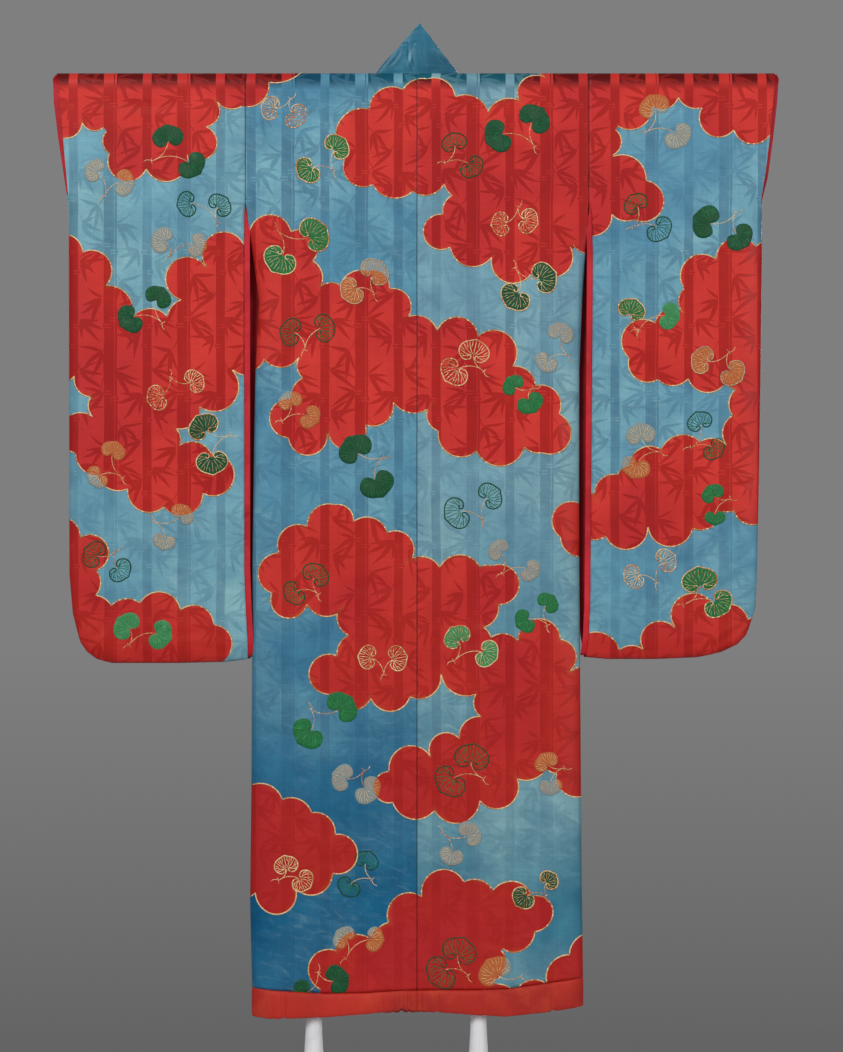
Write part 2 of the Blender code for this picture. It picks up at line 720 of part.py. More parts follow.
PARTS = new_collection("Furisode on stand")
CUTTERS = new_collection("Cutters")
SILK = new_material("Red and blue silk damask", (0.55, 0.09, 0.08), 0.55)
COLLAR_SILK = new_material("Blue silk", (0.03, 0.17, 0.29), 0.5)
HEM_SILK = new_material("Orange-red padded silk", (0.56, 0.03, 0.02), 0.5)
LINING = new_material("Red silk lining", (0.57, 0.01, 0.02), 0.5)
STAND_PAINT = new_material("Pale grey paint", (0.72, 0.73, 0.74), 0.4)

for side_name in ("left", "right"):
    body_back(side_name)
    body_front(side_name)
    body_side(side_name)
    body_shoulder(side_name)
    overlap_panel(side_name)
    collar_strip(side_name)
    sleeve_layer(side_name, "back")
    sleeve_layer(side_name, "front")
    sleeve_edge(side_name)
    sleeve_foot(side_name)
    sleeve_shoulder(side_name)
    sleeve_lining_opening(side_name)
    sleeve_lining_cuff(side_name)
    hem_roll(f"hem_back_{side_name}", side_name, "back", GAP / 2, None)
    hem_roll(f"hem_front_{side_name}", side_name, "front", OVERLAP_SEAM + GAP / 2, None)
    hem_roll(f"hem_overlap_{side_name}", side_name, "front", OVERLAP_EDGE, OVERLAP_SEAM - GAP / 2)

stand_rod()
seat_cutter = rod_cutter()
for post_name, post_x in zip(("left", "right"), POST_X):
    stand_post(f"stand_post_{post_name}", post_x, seat_cutter)
    stand_base(f"stand_base_{post_name}", post_x)
    stand_foot(f"stand_foot_{post_name}", post_x)
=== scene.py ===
"""A furisode hung by its shoulders on a two-post stand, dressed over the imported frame.

Metres, +Z up. The back of the garment faces -Y and the wearer's left is at -X. "Own"
distances run outwards from the centre-back seam on a piece's own side. "Fall" is how
far a point lies below the shoulder fold: plus down the back, minus down the front.
"""

import math
from functools import partial, reduce

import bmesh
import bpy
import numpy as np
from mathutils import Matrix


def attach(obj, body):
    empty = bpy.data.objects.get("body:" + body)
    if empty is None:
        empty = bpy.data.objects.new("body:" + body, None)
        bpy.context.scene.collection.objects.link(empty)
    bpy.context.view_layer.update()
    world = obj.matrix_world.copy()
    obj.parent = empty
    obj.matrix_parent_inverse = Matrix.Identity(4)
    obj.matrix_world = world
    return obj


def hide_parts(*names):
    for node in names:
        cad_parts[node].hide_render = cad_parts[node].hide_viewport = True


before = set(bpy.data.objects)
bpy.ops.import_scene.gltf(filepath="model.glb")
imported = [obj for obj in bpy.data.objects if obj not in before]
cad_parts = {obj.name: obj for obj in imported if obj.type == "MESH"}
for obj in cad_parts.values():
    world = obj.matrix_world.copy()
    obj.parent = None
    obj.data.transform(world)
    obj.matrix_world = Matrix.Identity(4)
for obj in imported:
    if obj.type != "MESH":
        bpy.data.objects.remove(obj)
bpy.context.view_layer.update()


# ---- Room, lamps and camera
# A plain pale floor in a plain grey surround, lit by three large soft lamps. The camera
# stands square to the garment's back, far off, as the photograph was taken.
VIEW_X, VIEW_Z, VIEW_AWAY, VIEW_TALL = 0.0079, 1.0555, 7.0, 1.841
CLOTH_Y, FILM_TALL, FLOOR_R = -0.020, 24.0, 0.95


def colour(hexed):
    """sRGB hex as linear red, green, blue, alpha."""
    shares = np.array([int(hexed[k : k + 2], 16) for k in (1, 3, 5)]) / 255.0
    linear = np.where(shares <= 0.04045, shares / 12.92, ((shares + 0.055) / 1.055) ** 2.4)
    return (*linear.tolist(), 1.0)


def add(tree, kind, *values, out=0, **named):
    """Adds one node. "Math ADD" is a Math node set to ADD. Values and sockets go to its
    inputs in their order, or by a capital name, and small names are settings. It gives
    back one output, or all of them where out is None."""
    kind, *mode = kind.split()
    made = tree.nodes.new("ShaderNode" + kind)
    if mode:
        setattr(made, "blend_type" if kind == "MixRGB" else "operation", mode[0])
    for name in [name for name in named if name[0].islower()]:
        setattr(made, name, named.pop(name))
    for key, value in [*enumerate(values), *named.items()]:
        if isinstance(value, bpy.types.NodeSocket):
            tree.links.new(value, made.inputs[key])
        else:
            made.inputs[key].default_value = value
    return made.outputs if out is None else made.outputs[out]


def material(name, **fixed):
    """A new material, what adds nodes to it, and its shader with some inputs fixed."""
    made = bpy.data.materials.new(name)
    made.use_nodes = True
    shader = made.node_tree.nodes["Principled BSDF"]
    for socket, value in fixed.items():
        shader.inputs[socket.replace("_", " ")].default_value = value
    return made, partial(add, made.node_tree), shader


def finish(shader, **sockets):
    for name, socket in sockets.items():
        shader.id_data.links.new(socket, shader.inputs[name.replace("_", " ")])


def layered(node, tone, *layers):
    """Colours laid over a tone, each with its mask and the values between which the mask
    brings it in, and where they are given, the shares that it starts and ends with."""
    for mask, span, hexed in layers:
        tone = node("MixRGB", node("MapRange", mask, *span), tone, colour(hexed))
    return tone


def placed(name, data):
    made = bpy.data.objects.new(name, data)
    bpy.context.scene.collection.objects.link(made)
    return made


def mesh_object(name, points, faces, materials, spread=None, clouds=None, layer="Cloth"):
    """A smooth mesh object at the origin. A spread is its UV map, in metres of cloth or of
    thread, and clouds say how far each point lies inside the nearest red cloud."""
    mesh = bpy.data.meshes.new(name)
    mesh.from_pydata(points.reshape(-1, 3).tolist(), [], faces if isinstance(faces, list) else faces.tolist())
    mesh.shade_smooth()
    if spread is not None:
        corner = np.empty(len(mesh.loops), np.int32)
        mesh.loops.foreach_get("vertex_index", corner)
        mesh.uv_layers.new(name=layer).data.foreach_set("uv", spread.reshape(-1, 2)[corner].ravel())
    if clouds is not None:
        mesh.attributes.new("cloud", "FLOAT", "POINT").data.foreach_set("value", clouds.ravel())
    for silk in materials:
        mesh.materials.append(silk)
    return placed(name, mesh)


# The pale floor is a round sheet that ends just short of what the camera sees
floor_paint, node, shader = material("Matt pale floor", Roughness=0.8)
spot = node("TexCoord", out="Object")
mottle = node("TexNoise", Vector=spot, Scale=1.6, Detail=2.0)
tone = node("MixRGB", mottle, colour("#C6C6C8"), colour("#D2D2D3"))
away = node("VectorMath LENGTH", spot, out="Value")
# Painted shade: the floor is painted darker towards its rim, a falloff of the light, so that it fades into
# the grey surround
finish(shader, Base_Color=layered(node, tone, (away, (0.6 * FLOOR_R, FLOOR_R, 0.0, 0.8), "#8C8C8E")))
turn = np.linspace(0.0, 2.0 * math.pi, 96, endpoint=False)
rim = FLOOR_R * np.stack([np.cos(turn), np.sin(turn), np.zeros(len(turn))], axis=1)
mesh_object("studio_floor", rim, [list(range(len(turn)))], [floor_paint])

# Lamps: place, the height that they are turned to, size and power
for name, place, target, size, watts in (
    ("key_lamp", (-2.6, -4.2, 3.9), 1.1, (2.6, 2.0), 185.0),
    ("fill_lamp", (3.2, -4.0, 2.4), 1.0, (2.4, 2.4), 105.0),
    ("back_lamp", (1.2, 4.6, 2.2), 1.0, (3.0, 2.0), 130.0),
):
    lamp = placed(name, bpy.data.lights.new(name, "AREA"))
    lamp.data.shape, lamp.data.energy = "RECTANGLE", watts
    lamp.data.size, lamp.data.size_y = size
    lamp.location = place
    x, y, z = place
    lamp.rotation_euler = (math.atan2(math.hypot(x, y), z - target), 0.0, math.atan2(x, -y))
    lamp.visible_camera = False
world = bpy.context.scene.world or bpy.data.worlds.new("Studio")
bpy.context.scene.world = world
world.use_nodes = True
node = partial(add, world.node_tree)
height = node("SeparateXYZ", node("TexCoord", out="Generated"), out=2)
backdrop = world.node_tree.nodes["Background"]
backdrop.inputs["Strength"].default_value = 1.0
finish(backdrop, Color=layered(node, colour("#7F7F80"), (height, (-0.03, -0.13), "#636364")))
bpy.context.scene.view_settings.view_transform = "Standard"
camera = placed("Camera", bpy.data.cameras.new("Camera"))
camera.data.sensor_fit, camera.data.sensor_height = "VERTICAL", FILM_TALL
camera.data.lens = FILM_TALL * VIEW_AWAY / VIEW_TALL
camera.location = (VIEW_X, CLOTH_Y - VIEW_AWAY, VIEW_Z)
camera.rotation_euler = (math.pi / 2, 0.0, 0.0)
bpy.context.scene.camera = camera


# ---- Stand
# A rod on two turned posts with flat feet, in softwood under satin pale grey paint. The
# paint is brushed on, so it has faint runs along the length, and it is dulled by hands
# and a little knocked at its edges.
stand_paint, node, shader = material("Satin grey paint on turned wood")
spot = node("TexCoord", out="Object")
runs = node("Mapping", Vector=spot, Scale=(260.0, 260.0, 9.0))
streak = node("TexNoise", Vector=runs, Scale=1.0, Detail=3.0)
wear = node("TexNoise", Vector=spot, Scale=24.0, Detail=4.0)
paint = node("MixRGB", streak, colour("#D9DADC"), colour("#E9EAEC"))
finish(
    shader,
    Base_Color=layered(node, paint, (wear, (0.60, 0.72, 0.0, 0.35), "#B9B7B2")),
    Roughness=node("MapRange", wear, 0.0, 1.0, 0.34, 0.52),
    Normal=node("Bump", Height=streak, Strength=0.12, Distance=0.0006),
)
for name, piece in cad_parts.items():
    if name.startswith("stand_"):
        if piece.material_slots:
            piece.material_slots[0].material = stand_paint
        else:
            piece.data.materials.append(stand_paint)


# ---- Body
# Two lengths of soft satin damask, dyed blue with red clouds and lined in plain red silk.
# Each hangs down the back, over the rod and down the front. They are sewn together down
# the middle of the back, and each to itself down its side.
SHOULDER_Z, ROD_Z, OUT_R = 1.850, 1.8304, 0.0196
QUARTER_TURN = math.pi / 2 * OUT_R
SEAM_HALF, HALF_GAP, CLOSING, SEWN_OFF = 0.0025, 0.00015, 0.0004, 0.00001
NECK_HALF, SIDE_TURN = 0.082, 0.045
SIDE_SLIT = (1.480, 1.600)
OVERLAP_SEAM, COLLAR_TUCK = 0.050, 0.020
COLLAR_SEAM, COLLAR_FROM, COLLAR_TOP = (-0.045, 0.080), 0.996, 1.830
LIFT_START, LIFT_FULL = 0.175, 0.115
HEM_TOP, HEM_FADE = 0.247, 0.640
CLOTH_WALL, STEP = 0.0014, 0.006
BODY_LENGTH, BODY_FLAT, SIDE_PULL = 1.603, 0.255, 0.0004
NEAR_ROD, ROD_PRESS = 0.075, 0.0006
SEWN_EDGE = (0.00002, 0.0012, 0.003, 0.0055, 0.0095)
TURN_SHARES = np.sin(np.linspace(0.0, math.pi / 2, 9))[1:]
SIGN = {"left": -1.0, "right": 1.0}


def table(columns, rows):
    """Rows of numbers as one array for each named column."""
    names = columns.split()
    return dict(zip(names, np.array(rows.split(), float).reshape(-1, len(names)).T))


def read(rows, column, place, key="height"):
    """A table's column, read in a straight line between its rows."""
    return np.interp(place, rows[key], rows[column])


def smooth(t):
    """0 to 1 with a soft start and end: t squared times 3 less 2 t."""
    t = np.clip(t, 0.0, 1.0)
    return t * t * (3.0 - 2.0 * t)


def bend(t):
    """A quarter ellipse, 1 down to 0 as t runs from 0 to 1: sqrt(1 - t t)."""
    return np.sqrt(1.0 - np.clip(t, 0.0, 1.0) ** 2)


# Half width of the body at its side seams
BODY_SIDE = table("height left right", """
    0.249 0.2895 0.2915   0.4 0.293 0.2895   0.611 0.2905 0.2877   1 0.289 0.285   1.125 0.287 0.2845
    1.33 0.2835 0.285   1.45 0.277 0.29   1.533 0.2885 0.2965   1.626 0.3 0.3   1.85 0.3 0.3
""")
# How far the cloth's outer side stands from the middle plane, and how much further the
# left front lies out where it crosses the right one
DEPTH = table("height body sleeve lift", f"""
    0.24 0.024 0.012 0.012   0.3 0.0238 0.012 0.0115   0.45 0.0235 0.012 0.007   1 0.0225 0.013 0.007
    1.3 0.0215 0.015 0.007   1.6 0.0202 0.0202 0.007   1.68 0.02 0.02 0.007   1.75 0.0198 0.0198 0.003
    1.8 0.0196 0.0196 0   {ROD_Z} {OUT_R} {OUT_R} 0
""")
# The hem roll's upper and lower edge, across the whole garment
HEM_LINE = {
    "back": table("across top bottom", """
        -0.29 0.247 0.1965   -0.252 0.243 0.1925   -0.16 0.238 0.196   -0.091 0.239 0.2015
        -0.026 0.243 0.208   0.044 0.244 0.2043   0.1 0.244 0.2   0.156 0.246 0.197   0.222 0.2555 0.204
        0.29 0.2645 0.214
    """),
    "front": table("across top bottom", """
        -0.29 0.247 0.203   -0.2 0.244 0.195   -0.08 0.242 0.198   0 0.243 0.199   0.1 0.246 0.2
        0.2 0.254 0.207   0.29 0.2645 0.214
    """),
}
# Creases, in millimetres: middle of the crease across and below the shoulder, its
# length and half width, its slope in degrees (plus falls towards +X), its depth
BACK_CREASES = table("across fall length half slope deep", """
    -103 1164 120 7 1 1.5   -186 1500 50 7 -38 1.7   -172 1474 70 9 8 1.2   -70 1481 34 6 -16 1.4
    -60 1555 38 6 6 1.1   186 1080 36 5 4 1.3   178 1512 66 7 -11 1.5   150 1530 80 9 14 1.1
    -250 1500 46 9 4 1   -262 1160 54 11 -5 0.9   -130 1380 110 12 -3 1   60 1395 90 11 4 0.9
    -40 1250 90 12 2 0.9   150 1310 110 13 -4 0.9   -200 1040 90 13 5 0.8   90 1000 120 15 -3 0.8
    -90 900 130 17 3 0.7   205 850 70 13 -8 0.9   262 620 240 11 87 1.6   -258 560 200 10 92 1
    228 1440 60 8 24 1.2   -312 781 44 5 -4 1.9   -311 819 34 4 6 1.5   -330 905 46 8 14 1
    -560 700 50 9 -9 1   -470 880 150 12 3 0.9   -400 640 150 14 -4 0.8   -350 1015 90 8 7 1.6
    -450 1024 90 8 -5 1.5   -560 985 60 10 -48 1.8   -590 930 60 9 -66 1.4   -420 985 110 12 2 0.9
    -585 480 90 13 84 0.9   569 724 46 6 -19 2.4   548 742 42 7 -24 1.6   566 985 46 6 -38 2.6
    545 1000 50 7 -30 2.3   580 962 40 7 -52 2   528 1014 56 7 -16 1.9   480 1013 60 8 -8 1.5
    400 1020 70 8 4 1.4   340 1012 60 7 -6 1.3   540 905 110 12 -30 1.2   575 850 80 11 -47 1.1
    470 860 120 13 -12 0.9   430 700 140 14 6 0.8   360 560 90 14 -8 0.8   590 590 100 13 82 1
    -480 60 130 13 3 0.9   460 62 150 14 -3 0.9   -150 48 90 12 4 0.7   -610 150 60 7 66 1.3
    612 150 60 7 112 1.3   -300 240 44 6 78 1.1
""")
FRONT_CREASES = table("across fall length half slope deep", """
    -180 1150 120 12 4 1.3   -90 1500 70 8 -14 1.6   150 1460 90 10 10 1.3   220 1200 110 13 -5 1.1
    40 1350 110 12 5 1.2   -230 900 100 13 -6 1   120 900 140 15 5 1   -140 620 150 14 -22 1.6
    150 600 150 14 24 1.6   -170 420 130 12 -34 1.5   175 410 130 12 33 1.5   -190 230 90 11 -44 1.2
    190 240 90 11 42 1.2   -20 1180 120 13 82 1.2   -420 300 150 14 -8 1   -470 620 150 14 5 0.9
    -540 900 90 11 -30 1.4   -380 1000 110 9 4 1.5   430 320 150 14 7 1   480 640 150 14 -6 0.9
    545 930 90 10 -34 1.9   400 1005 110 9 -3 1.5   570 985 50 7 -40 2.2   -570 975 60 9 44 1.7
    -330 800 70 9 5 1.4   330 820 70 9 -6 1.4   590 500 120 13 84 1
""")


def crease(across_x, fall, rows):
    """How far creases move the cloth: for each, a trough with a soft ridge on each side,
    (1 - 2 q q) e^(-q q) across it, q in half widths, which fades out along its length."""
    moved = np.zeros(np.shape(across_x))
    for middle, below, length, half, slope, deep in zip(*rows.values()):
        turn = math.radians(slope)
        x, y = across_x * 1000.0 - middle, fall * 1000.0 - below
        along = x * math.cos(turn) + y * math.sin(turn)
        aside = (-x * math.sin(turn) + y * math.cos(turn)) + 0.12 * along * np.sin(along / length * 2.1)
        q = aside / half
        reach = smooth(1.35 - np.abs(along) / (0.5 * length))
        moved -= deep * reach * (1.0 - 2.0 * q * q) * np.exp(-q * q)
    return moved / 1000.0


def ripple(across_x, fall):
    """Slack in hanging silk: slow waves that cross at several lengths, in metres, with
    faint level wrinkles that grow towards the foot and are drawn finer above the hem."""
    low = smooth((np.abs(fall) - 0.10) / 0.25)
    slow = np.sin(across_x * 17.0 + fall * 3.1 + 0.6) * np.sin(fall * 9.0 - across_x * 4.0 + 1.3)
    mid = np.sin(across_x * 41.0 - fall * 11.0 + 2.0) * np.sin(fall * 23.0 + across_x * 9.0)
    level = np.sin(fall * 190.0 + 3.0 * np.sin(across_x * 21.0 + fall * 5.0))
    level *= np.sin(across_x * 33.0 + fall * 27.0) * smooth((np.abs(fall) - 0.55) / 0.6)
    drawn = np.sin(fall * 410.0 + 4.0 * np.sin(across_x * 13.0 + fall * 8.0))
    drawn *= np.sin(across_x * 47.0 + 1.0) * smooth((np.abs(fall) - 1.49) / 0.10)
    return low * (0.0011 * slow + 0.00045 * mid) + 0.00022 * level + 0.00028 * drawn


def seam_pucker(distance, fall, pull=0.0009):
    """A sewn edge: the cloth rolls in over the last 2 mm and puckers along the thread."""
    roll = pull * np.exp(-((distance / 0.0021) ** 2))
    wave = np.sin(fall * 420.0 + 2.2 * np.sin(fall * 57.0)) * np.exp(-((distance / 0.011) ** 2))
    return -roll - 0.00028 * wave * (0.6 + 0.4 * np.sin(fall * 23.0))


def over_rod(fall, depth):
    """Height and depth at a fall: a half circle over the rod, then straight down, with
    the outward direction as its parts along the depth and the height."""
    drop = np.abs(fall)
    share = np.clip(1.0 - drop / OUT_R, 0.0, 1.0)
    out_depth = np.sqrt(1.0 - share * share)
    on_arc = drop < OUT_R
    level, depth = SHOULDER_Z - drop, np.where(on_arc, OUT_R * out_depth, depth)
    return level, depth, np.where(on_arc, out_depth, 1.0), np.where(on_arc, share, 0.0)


def front_depth(side, own, height):
    """Outer side of a front where it hangs flat. The left one lies over the right."""
    lift = read(DEPTH, "lift", height) if side == "left" else 0.0
    return read(DEPTH, "body", height) + lift * smooth((LIFT_START - own) / (LIFT_START - LIFT_FULL))


def hem_shift(face, across_x, height):
    """How far the cloth follows the hem roll's upper edge, fading out upwards."""
    line = read(HEM_LINE[face], "top", across_x, key="across") - HEM_TOP
    return line * np.clip((HEM_FADE - height) / (HEM_FADE - HEM_TOP), 0.0, 1.0)


def slack(across_x, fall):
    """Creases of the back or the front, whichever a fall is on, and ripples."""
    back, front = (crease(across_x, np.abs(fall), rows) for rows in (BACK_CREASES, FRONT_CREASES))
    return np.where(fall > 0.0, back, front) + ripple(across_x, fall)


def hung(across_x, fall, depth, move, shift):
    """Points of cloth that hangs over the rod, moved outwards, but hardly inwards near the
    rod, and shifted up."""
    level, depth, out_depth, out_height = over_rod(fall, depth)
    move = np.where(np.abs(fall) < NEAR_ROD, np.clip(move, -ROD_PRESS, 1.0), move)
    out = np.where(fall > 0.0, -1.0, 1.0) * (depth + move * out_depth)
    return np.stack([across_x, out, level + shift + move * out_height], axis=-1)


def body_cloth(side, own, fall):
    """Points of half a body from own distances and falls.

    Across, the cloth is flat and then turns in on a quarter ellipse to the side seam:
    depth = seam + (depth - seam) sqrt(1 - t t), t running 0 to 1 over the turn."""
    height = SHOULDER_Z - np.abs(fall)
    edge = read(BODY_SIDE, side, height)
    closed = smooth((SIDE_SLIT[1] - height) / (SIDE_SLIT[1] - SIDE_SLIT[0]))
    flat = np.where(fall > 0.0, read(DEPTH, "body", height), front_depth(side, own, height))
    turned = bend((own - edge + SIDE_TURN) / SIDE_TURN)
    depth = flat + closed * (SEAM_HALF + (flat - SEAM_HALF) * turned - flat)
    depth = np.where(own > edge, depth + closed * (CLOSING - depth), depth)
    x = SIGN[side] * own
    move = slack(x, fall) * (1.0 - closed * (1.0 - turned))
    move += seam_pucker(edge - own, fall, SIDE_PULL) * (1.0 - closed)
    move += np.where(fall > -OUT_R, seam_pucker(own, fall), 0.0)
    shift = np.where(fall > 0.0, hem_shift("back", x, height), hem_shift("front", x, height))
    return hung(x, fall, depth, move, shift)


def falls(low, extra=()):
    """Falls of a cloth's rows from the back's foot over the shoulder to the front's: even
    steps on the flat, seven rows round each quarter of the rod, and more at the foot."""
    turn = OUT_R * (1.0 - np.cos(np.linspace(0.0, math.pi / 2, 8)))
    down = [*turn[1:], *np.linspace(OUT_R, low, int((low - OUT_R) / STEP))[1:], *extra]
    return np.array([*down[::-1], 0.0, *-np.array(down)])


def grid_faces(shape, keep=True, flip=False):
    """Squares between the points of a grid, or those of them that are kept."""
    index = np.arange(shape[0] * shape[1]).reshape(shape)
    quads = np.stack([index[:-1, :-1], index[:-1, 1:], index[1:, 1:], index[1:, :-1]], axis=-1)
    quads = quads[np.broadcast_to(keep, quads.shape[:2])]
    return quads[:, ::-1] if flip else quads


def cloud_depth(points, cloud):
    """How far points lie inside a cloud, plus inside: the greatest of each lobe's radius
    less the distance to its middle, and of the core, the polygon through the middles."""
    middles, radii = cloud[:, :2], cloud[:, 2]
    depth = np.full(len(points), -1.0)
    for middle, radius in zip(middles, radii):
        depth = np.maximum(depth, radius - np.hypot(*(points - middle).T))
    near = np.full(len(points), 9.0)
    inside = np.zeros(len(points), bool)
    for start, end in zip(middles, np.roll(middles, -1, axis=0)):
        way = end - start
        share = np.clip((points - start) @ way / (way @ way), 0.0, 1.0)
        near = np.minimum(near, np.hypot(*(points - start - share[:, None] * way).T))
        spans = (start[1] > points[:, 1]) != (end[1] > points[:, 1])
        rise = way[1] if way[1] else 1e-9
        inside ^= spans & (points[:, 0] < start[0] + (points[:, 1] - start[1]) * way[0] / rise)
    return np.maximum(depth, np.where(inside, near, -near))


def sew(made, slot, *solids):
    """Puts a piece on the one body, in place of the solids that it covers."""
    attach(made, "root")
    if solids:
        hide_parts(*solids)
    return made


def cloth_piece(name, side, points, own, rows, silk, wall=CLOTH_WALL, panel=None, keep=True, flip=False):
    """A lined piece from own distances and falls in rows: its outer side from a grid of
    points, with a wall grown inwards in the lining's silk. A panel has figured silk, with
    the clouds that lie on it and its culms where CULM_X says."""
    x = SIGN[side] * own
    spread = np.stack([x - CULM_X.get(panel, 0.0), cloth_length(rows)], axis=-1)
    clouds = cloud_field(field_of(panel), x, rows) if panel else np.zeros(x.shape)
    used, faces = np.unique(grid_faces(own.shape, keep, flip != (side == "left")), return_inverse=True)
    points, spread, clouds = points.reshape(-1, 3)[used], spread.reshape(-1, 2)[used], clouds.ravel()[used]
    made = mesh_object(name, points, faces.reshape(-1, 4), [silk, lining_silk], spread, clouds)
    shell = made.modifiers.new("Lining", "SOLIDIFY")
    shell.thickness, shell.offset = wall, -1.0
    shell.material_offset = 1
    shell.use_even_offset = shell.use_quality_normals = True
    return made


def panel_piece(part, side, fall, own, cloth, solids, keep=True):
    """A panel of the figured silk, whose points a function of cloth gives."""
    rows = np.broadcast_to(fall[:, None], own.shape)
    silk = damasks[f"{part}_{side}".replace("overlap", "body")]
    name, panel = f"{part}_cloth_{side}", f"{part}_{side}"
    made = cloth_piece(name, side, cloth(side, own, rows), own, rows, silk, panel=panel, keep=keep)
    return sew(made, "silk_damask", *[f"{solid}_{side}" for solid in solids.split()])


def cloth_length(fall):
    """Length of cloth from the top of the rod to a fall, signed as the fall is."""
    drop = np.abs(fall)
    turned = OUT_R * np.arccos(1.0 - np.clip(drop / OUT_R, 0.0, 1.0))
    return np.sign(fall) * np.where(drop < OUT_R, turned, drop - OUT_R + QUARTER_TURN)


# Lobes of the red clouds on the back, in millimetres: across, fall and radius of each,
# in order round the cloud. Above a fall of 0 they run on over the shoulder.
CLOUDS = {
    "high_left": (
        "-614,88,28 -564,79,24 -525,121,25 -506,156,35 -439,154,38 -380,124,30 -373,68,28 "
        "-324,33,32 -296,24,37 -248,-42,61 -231,-100,42 -284,-135,38 -336,-144,35 -397,-112,42 "
        "-467,-135,38 -537,-117,42 -598,-140,38 -668,-126,38 -677,49,35"
    ),
    "high_right": (
        "243,-21,35 208,37,32 161,86,40 84,82,42 30,47,37 10,51,40 -44,65,39 -96,110,46 "
        "-94,166,35 -38,177,44 14,178,38 79,189,32 75,243,30 42,280,31 98,301,40 168,332,38 238,324,35 "
        "299,287,30 373,224,35 373,-91,42 320,-91,42 276,-56,35"
    ),
    "right_cuff": (
        "306,252,35 366,229,32 396,226,36 359,187,42 332,122,26 373,63,38 429,35,30 "
        "488,30,34 528,80,34 588,91,35 644,58,35 679,-21,42 626,-91,46 556,-117,42 478,-144,49 390,-126,42 "
        "320,-91,42 250,-74,35 250,206,35"
    ),
    "mid_left": (
        "-257,287,37 -205,308,32 -198,360,33 -150,399,30 -98,385,38 -77,376,29 -42,411,32 "
        "-2,466,40 70,466,37 135,492,40 172,550,35 217,583,35 233,632,37 212,635,32 145,646,44 77,634,40 "
        "47,600,30 -5,553,44 -77,584,36 -122,628,33 -191,637,34 -224,606,34 -187,565,32 -182,514,28 "
        "-238,480,37 -298,492,32 -336,399,35 -298,338,36"
    ),
    "side_spot": "270,786,34 285,814,34 341,796,38",
    "middle": (
        "-154,794,38 -138,784,27 -88,816,37 -38,836,33 7,886,38 75,884,39 124,896,33 144,897,35 "
        "108,938,35 102,996,28 150,1017,34 214,994,37 248,1024,31 289,1074,32 341,1099,35 341,1230,35 "
        "282,1234,38 245,1204,24 191,1200,40 140,1251,38 68,1272,42 -2,1265,42 -49,1251,27 -10,1218,39 "
        "51,1186,30 108,1162,34 128,1104,29 86,1048,44 4,1059,38 -47,1083,36 -114,1080,37 -154,1054,35 "
        "-105,1018,35 -105,954,35 -158,915,38 -224,924,32 -242,878,36 -208,828,36"
    ),
    "low_left": (
        "-273,1284,39 -220,1307,38 -177,1328,34 -138,1365,34 -186,1398,38 -247,1435,36 "
        "-310,1414,35 -336,1344,35"
    ),
    "foot": (
        "-154,1564,36 -105,1540,37 -44,1519,35 -14,1472,38 47,1433,39 100,1447,36 163,1454,38 "
        "206,1477,32 173,1508,33 124,1558,32 140,1629,35 93,1694,44 -82,1694,44 -138,1606,32"
    ),
    "foot_right": "201,1629,35 261,1592,35 299,1556,32 355,1606,35 285,1694,35",
    "left_sleeve": (
        "-620,318,35 -570,348,36 -541,418,44 -467,452,38 -402,432,35 -402,362,38 "
        "-338,318,38 -266,332,35 -266,478,35 -301,500,30 -355,551,43 -415,590,35 -443,644,29 -394,684,37 "
        "-357,705,37 -413,738,38 -469,733,38 -523,695,38 -560,668,38 -590,632,36 -550,584,26 -569,537,32 "
        "-628,513,33 -660,416,35"
    ),
    "left_sleeve_foot": (
        "-625,814,35 -572,842,32 -586,894,32 -567,952,36 -508,959,37 -452,948,38 "
        "-392,970,36 -359,1004,35 -397,1099,35 -642,1099,35"
    ),
    "right_sleeve": (
        "621,329,36 562,327,38 499,357,38 488,401,30 446,443,29 396,471,38 404,509,34 "
        "448,514,35 509,525,36 562,523,32 579,581,33 570,632,35 516,674,33 466,676,41 408,691,36 "
        "378,718,30 345,738,34 294,766,30 268,793,26 310,788,33 366,800,38 444,794,39 497,765,38 "
        "544,738,32 588,761,33 662,714,35 662,399,35"
    ),
    "right_sleeve_foot": (
        "317,1027,38 376,1043,32 425,1001,33 483,957,38 544,978,37 600,998,34 "
        "662,1029,35 495,1108,44 250,1090,35"
    ),
}
# The clouds on the fronts: which of the clouds above, turned over the shoulder, and how
# far each is moved, in millimetres
FRONT_CLOUDS = {
    "body": [("middle", 40, 250), ("mid_left", 20, -20), ("low_left", -20, -60), ("foot", -10, 60)],
    "left": [("left_sleeve", -30, 30), ("left_sleeve_foot", 10, 20)],
    "right": [("right_sleeve", 20, -40), ("right_sleeve_foot", -10, 30)],
}
BACK_CLOUDS = {
    "body": ["high_left", "high_right", "mid_left", "side_spot", "middle", "low_left", "foot", "foot_right"],
    "left": ["high_left", "left_sleeve", "left_sleeve_foot"],
    "right": ["right_cuff", "right_sleeve", "right_sleeve_foot"],
}


def lobes(text):
    return np.array([[float(number) for number in lobe.split(",")] for lobe in text.split()]) / 1000.0


def field_clouds(field):
    """Every cloud of a field, as rows of across, fall and radius."""
    found = [lobes(CLOUDS[name]) for name in BACK_CLOUDS[field]]
    for name, aside, below in FRONT_CLOUDS[field]:
        found.append(lobes(CLOUDS[name]) * (1.0, -1.0, 1.0) + np.array([aside, below, 0.0]) / 1000.0)
    return found


def field_of(panel):
    """Whose clouds lie on a panel: the body's, or those of a sleeve's side."""
    part, side = panel.split("_")
    return side if part == "sleeve" else "body"


def cloud_field(field, across_x, fall):
    flat = np.stack([across_x.ravel(), fall.ravel()], axis=1)
    depth = np.max([cloud_depth(flat, cloud) for cloud in field_clouds(field)], axis=0)
    return depth.reshape(across_x.shape)


def collar_line(ends, height):
    """Own distance on a line from a collar's lower end to where it turns over the rod."""
    return ends[0] + (ends[1] - ends[0]) * (height - COLLAR_FROM) / (COLLAR_TOP - COLLAR_FROM)


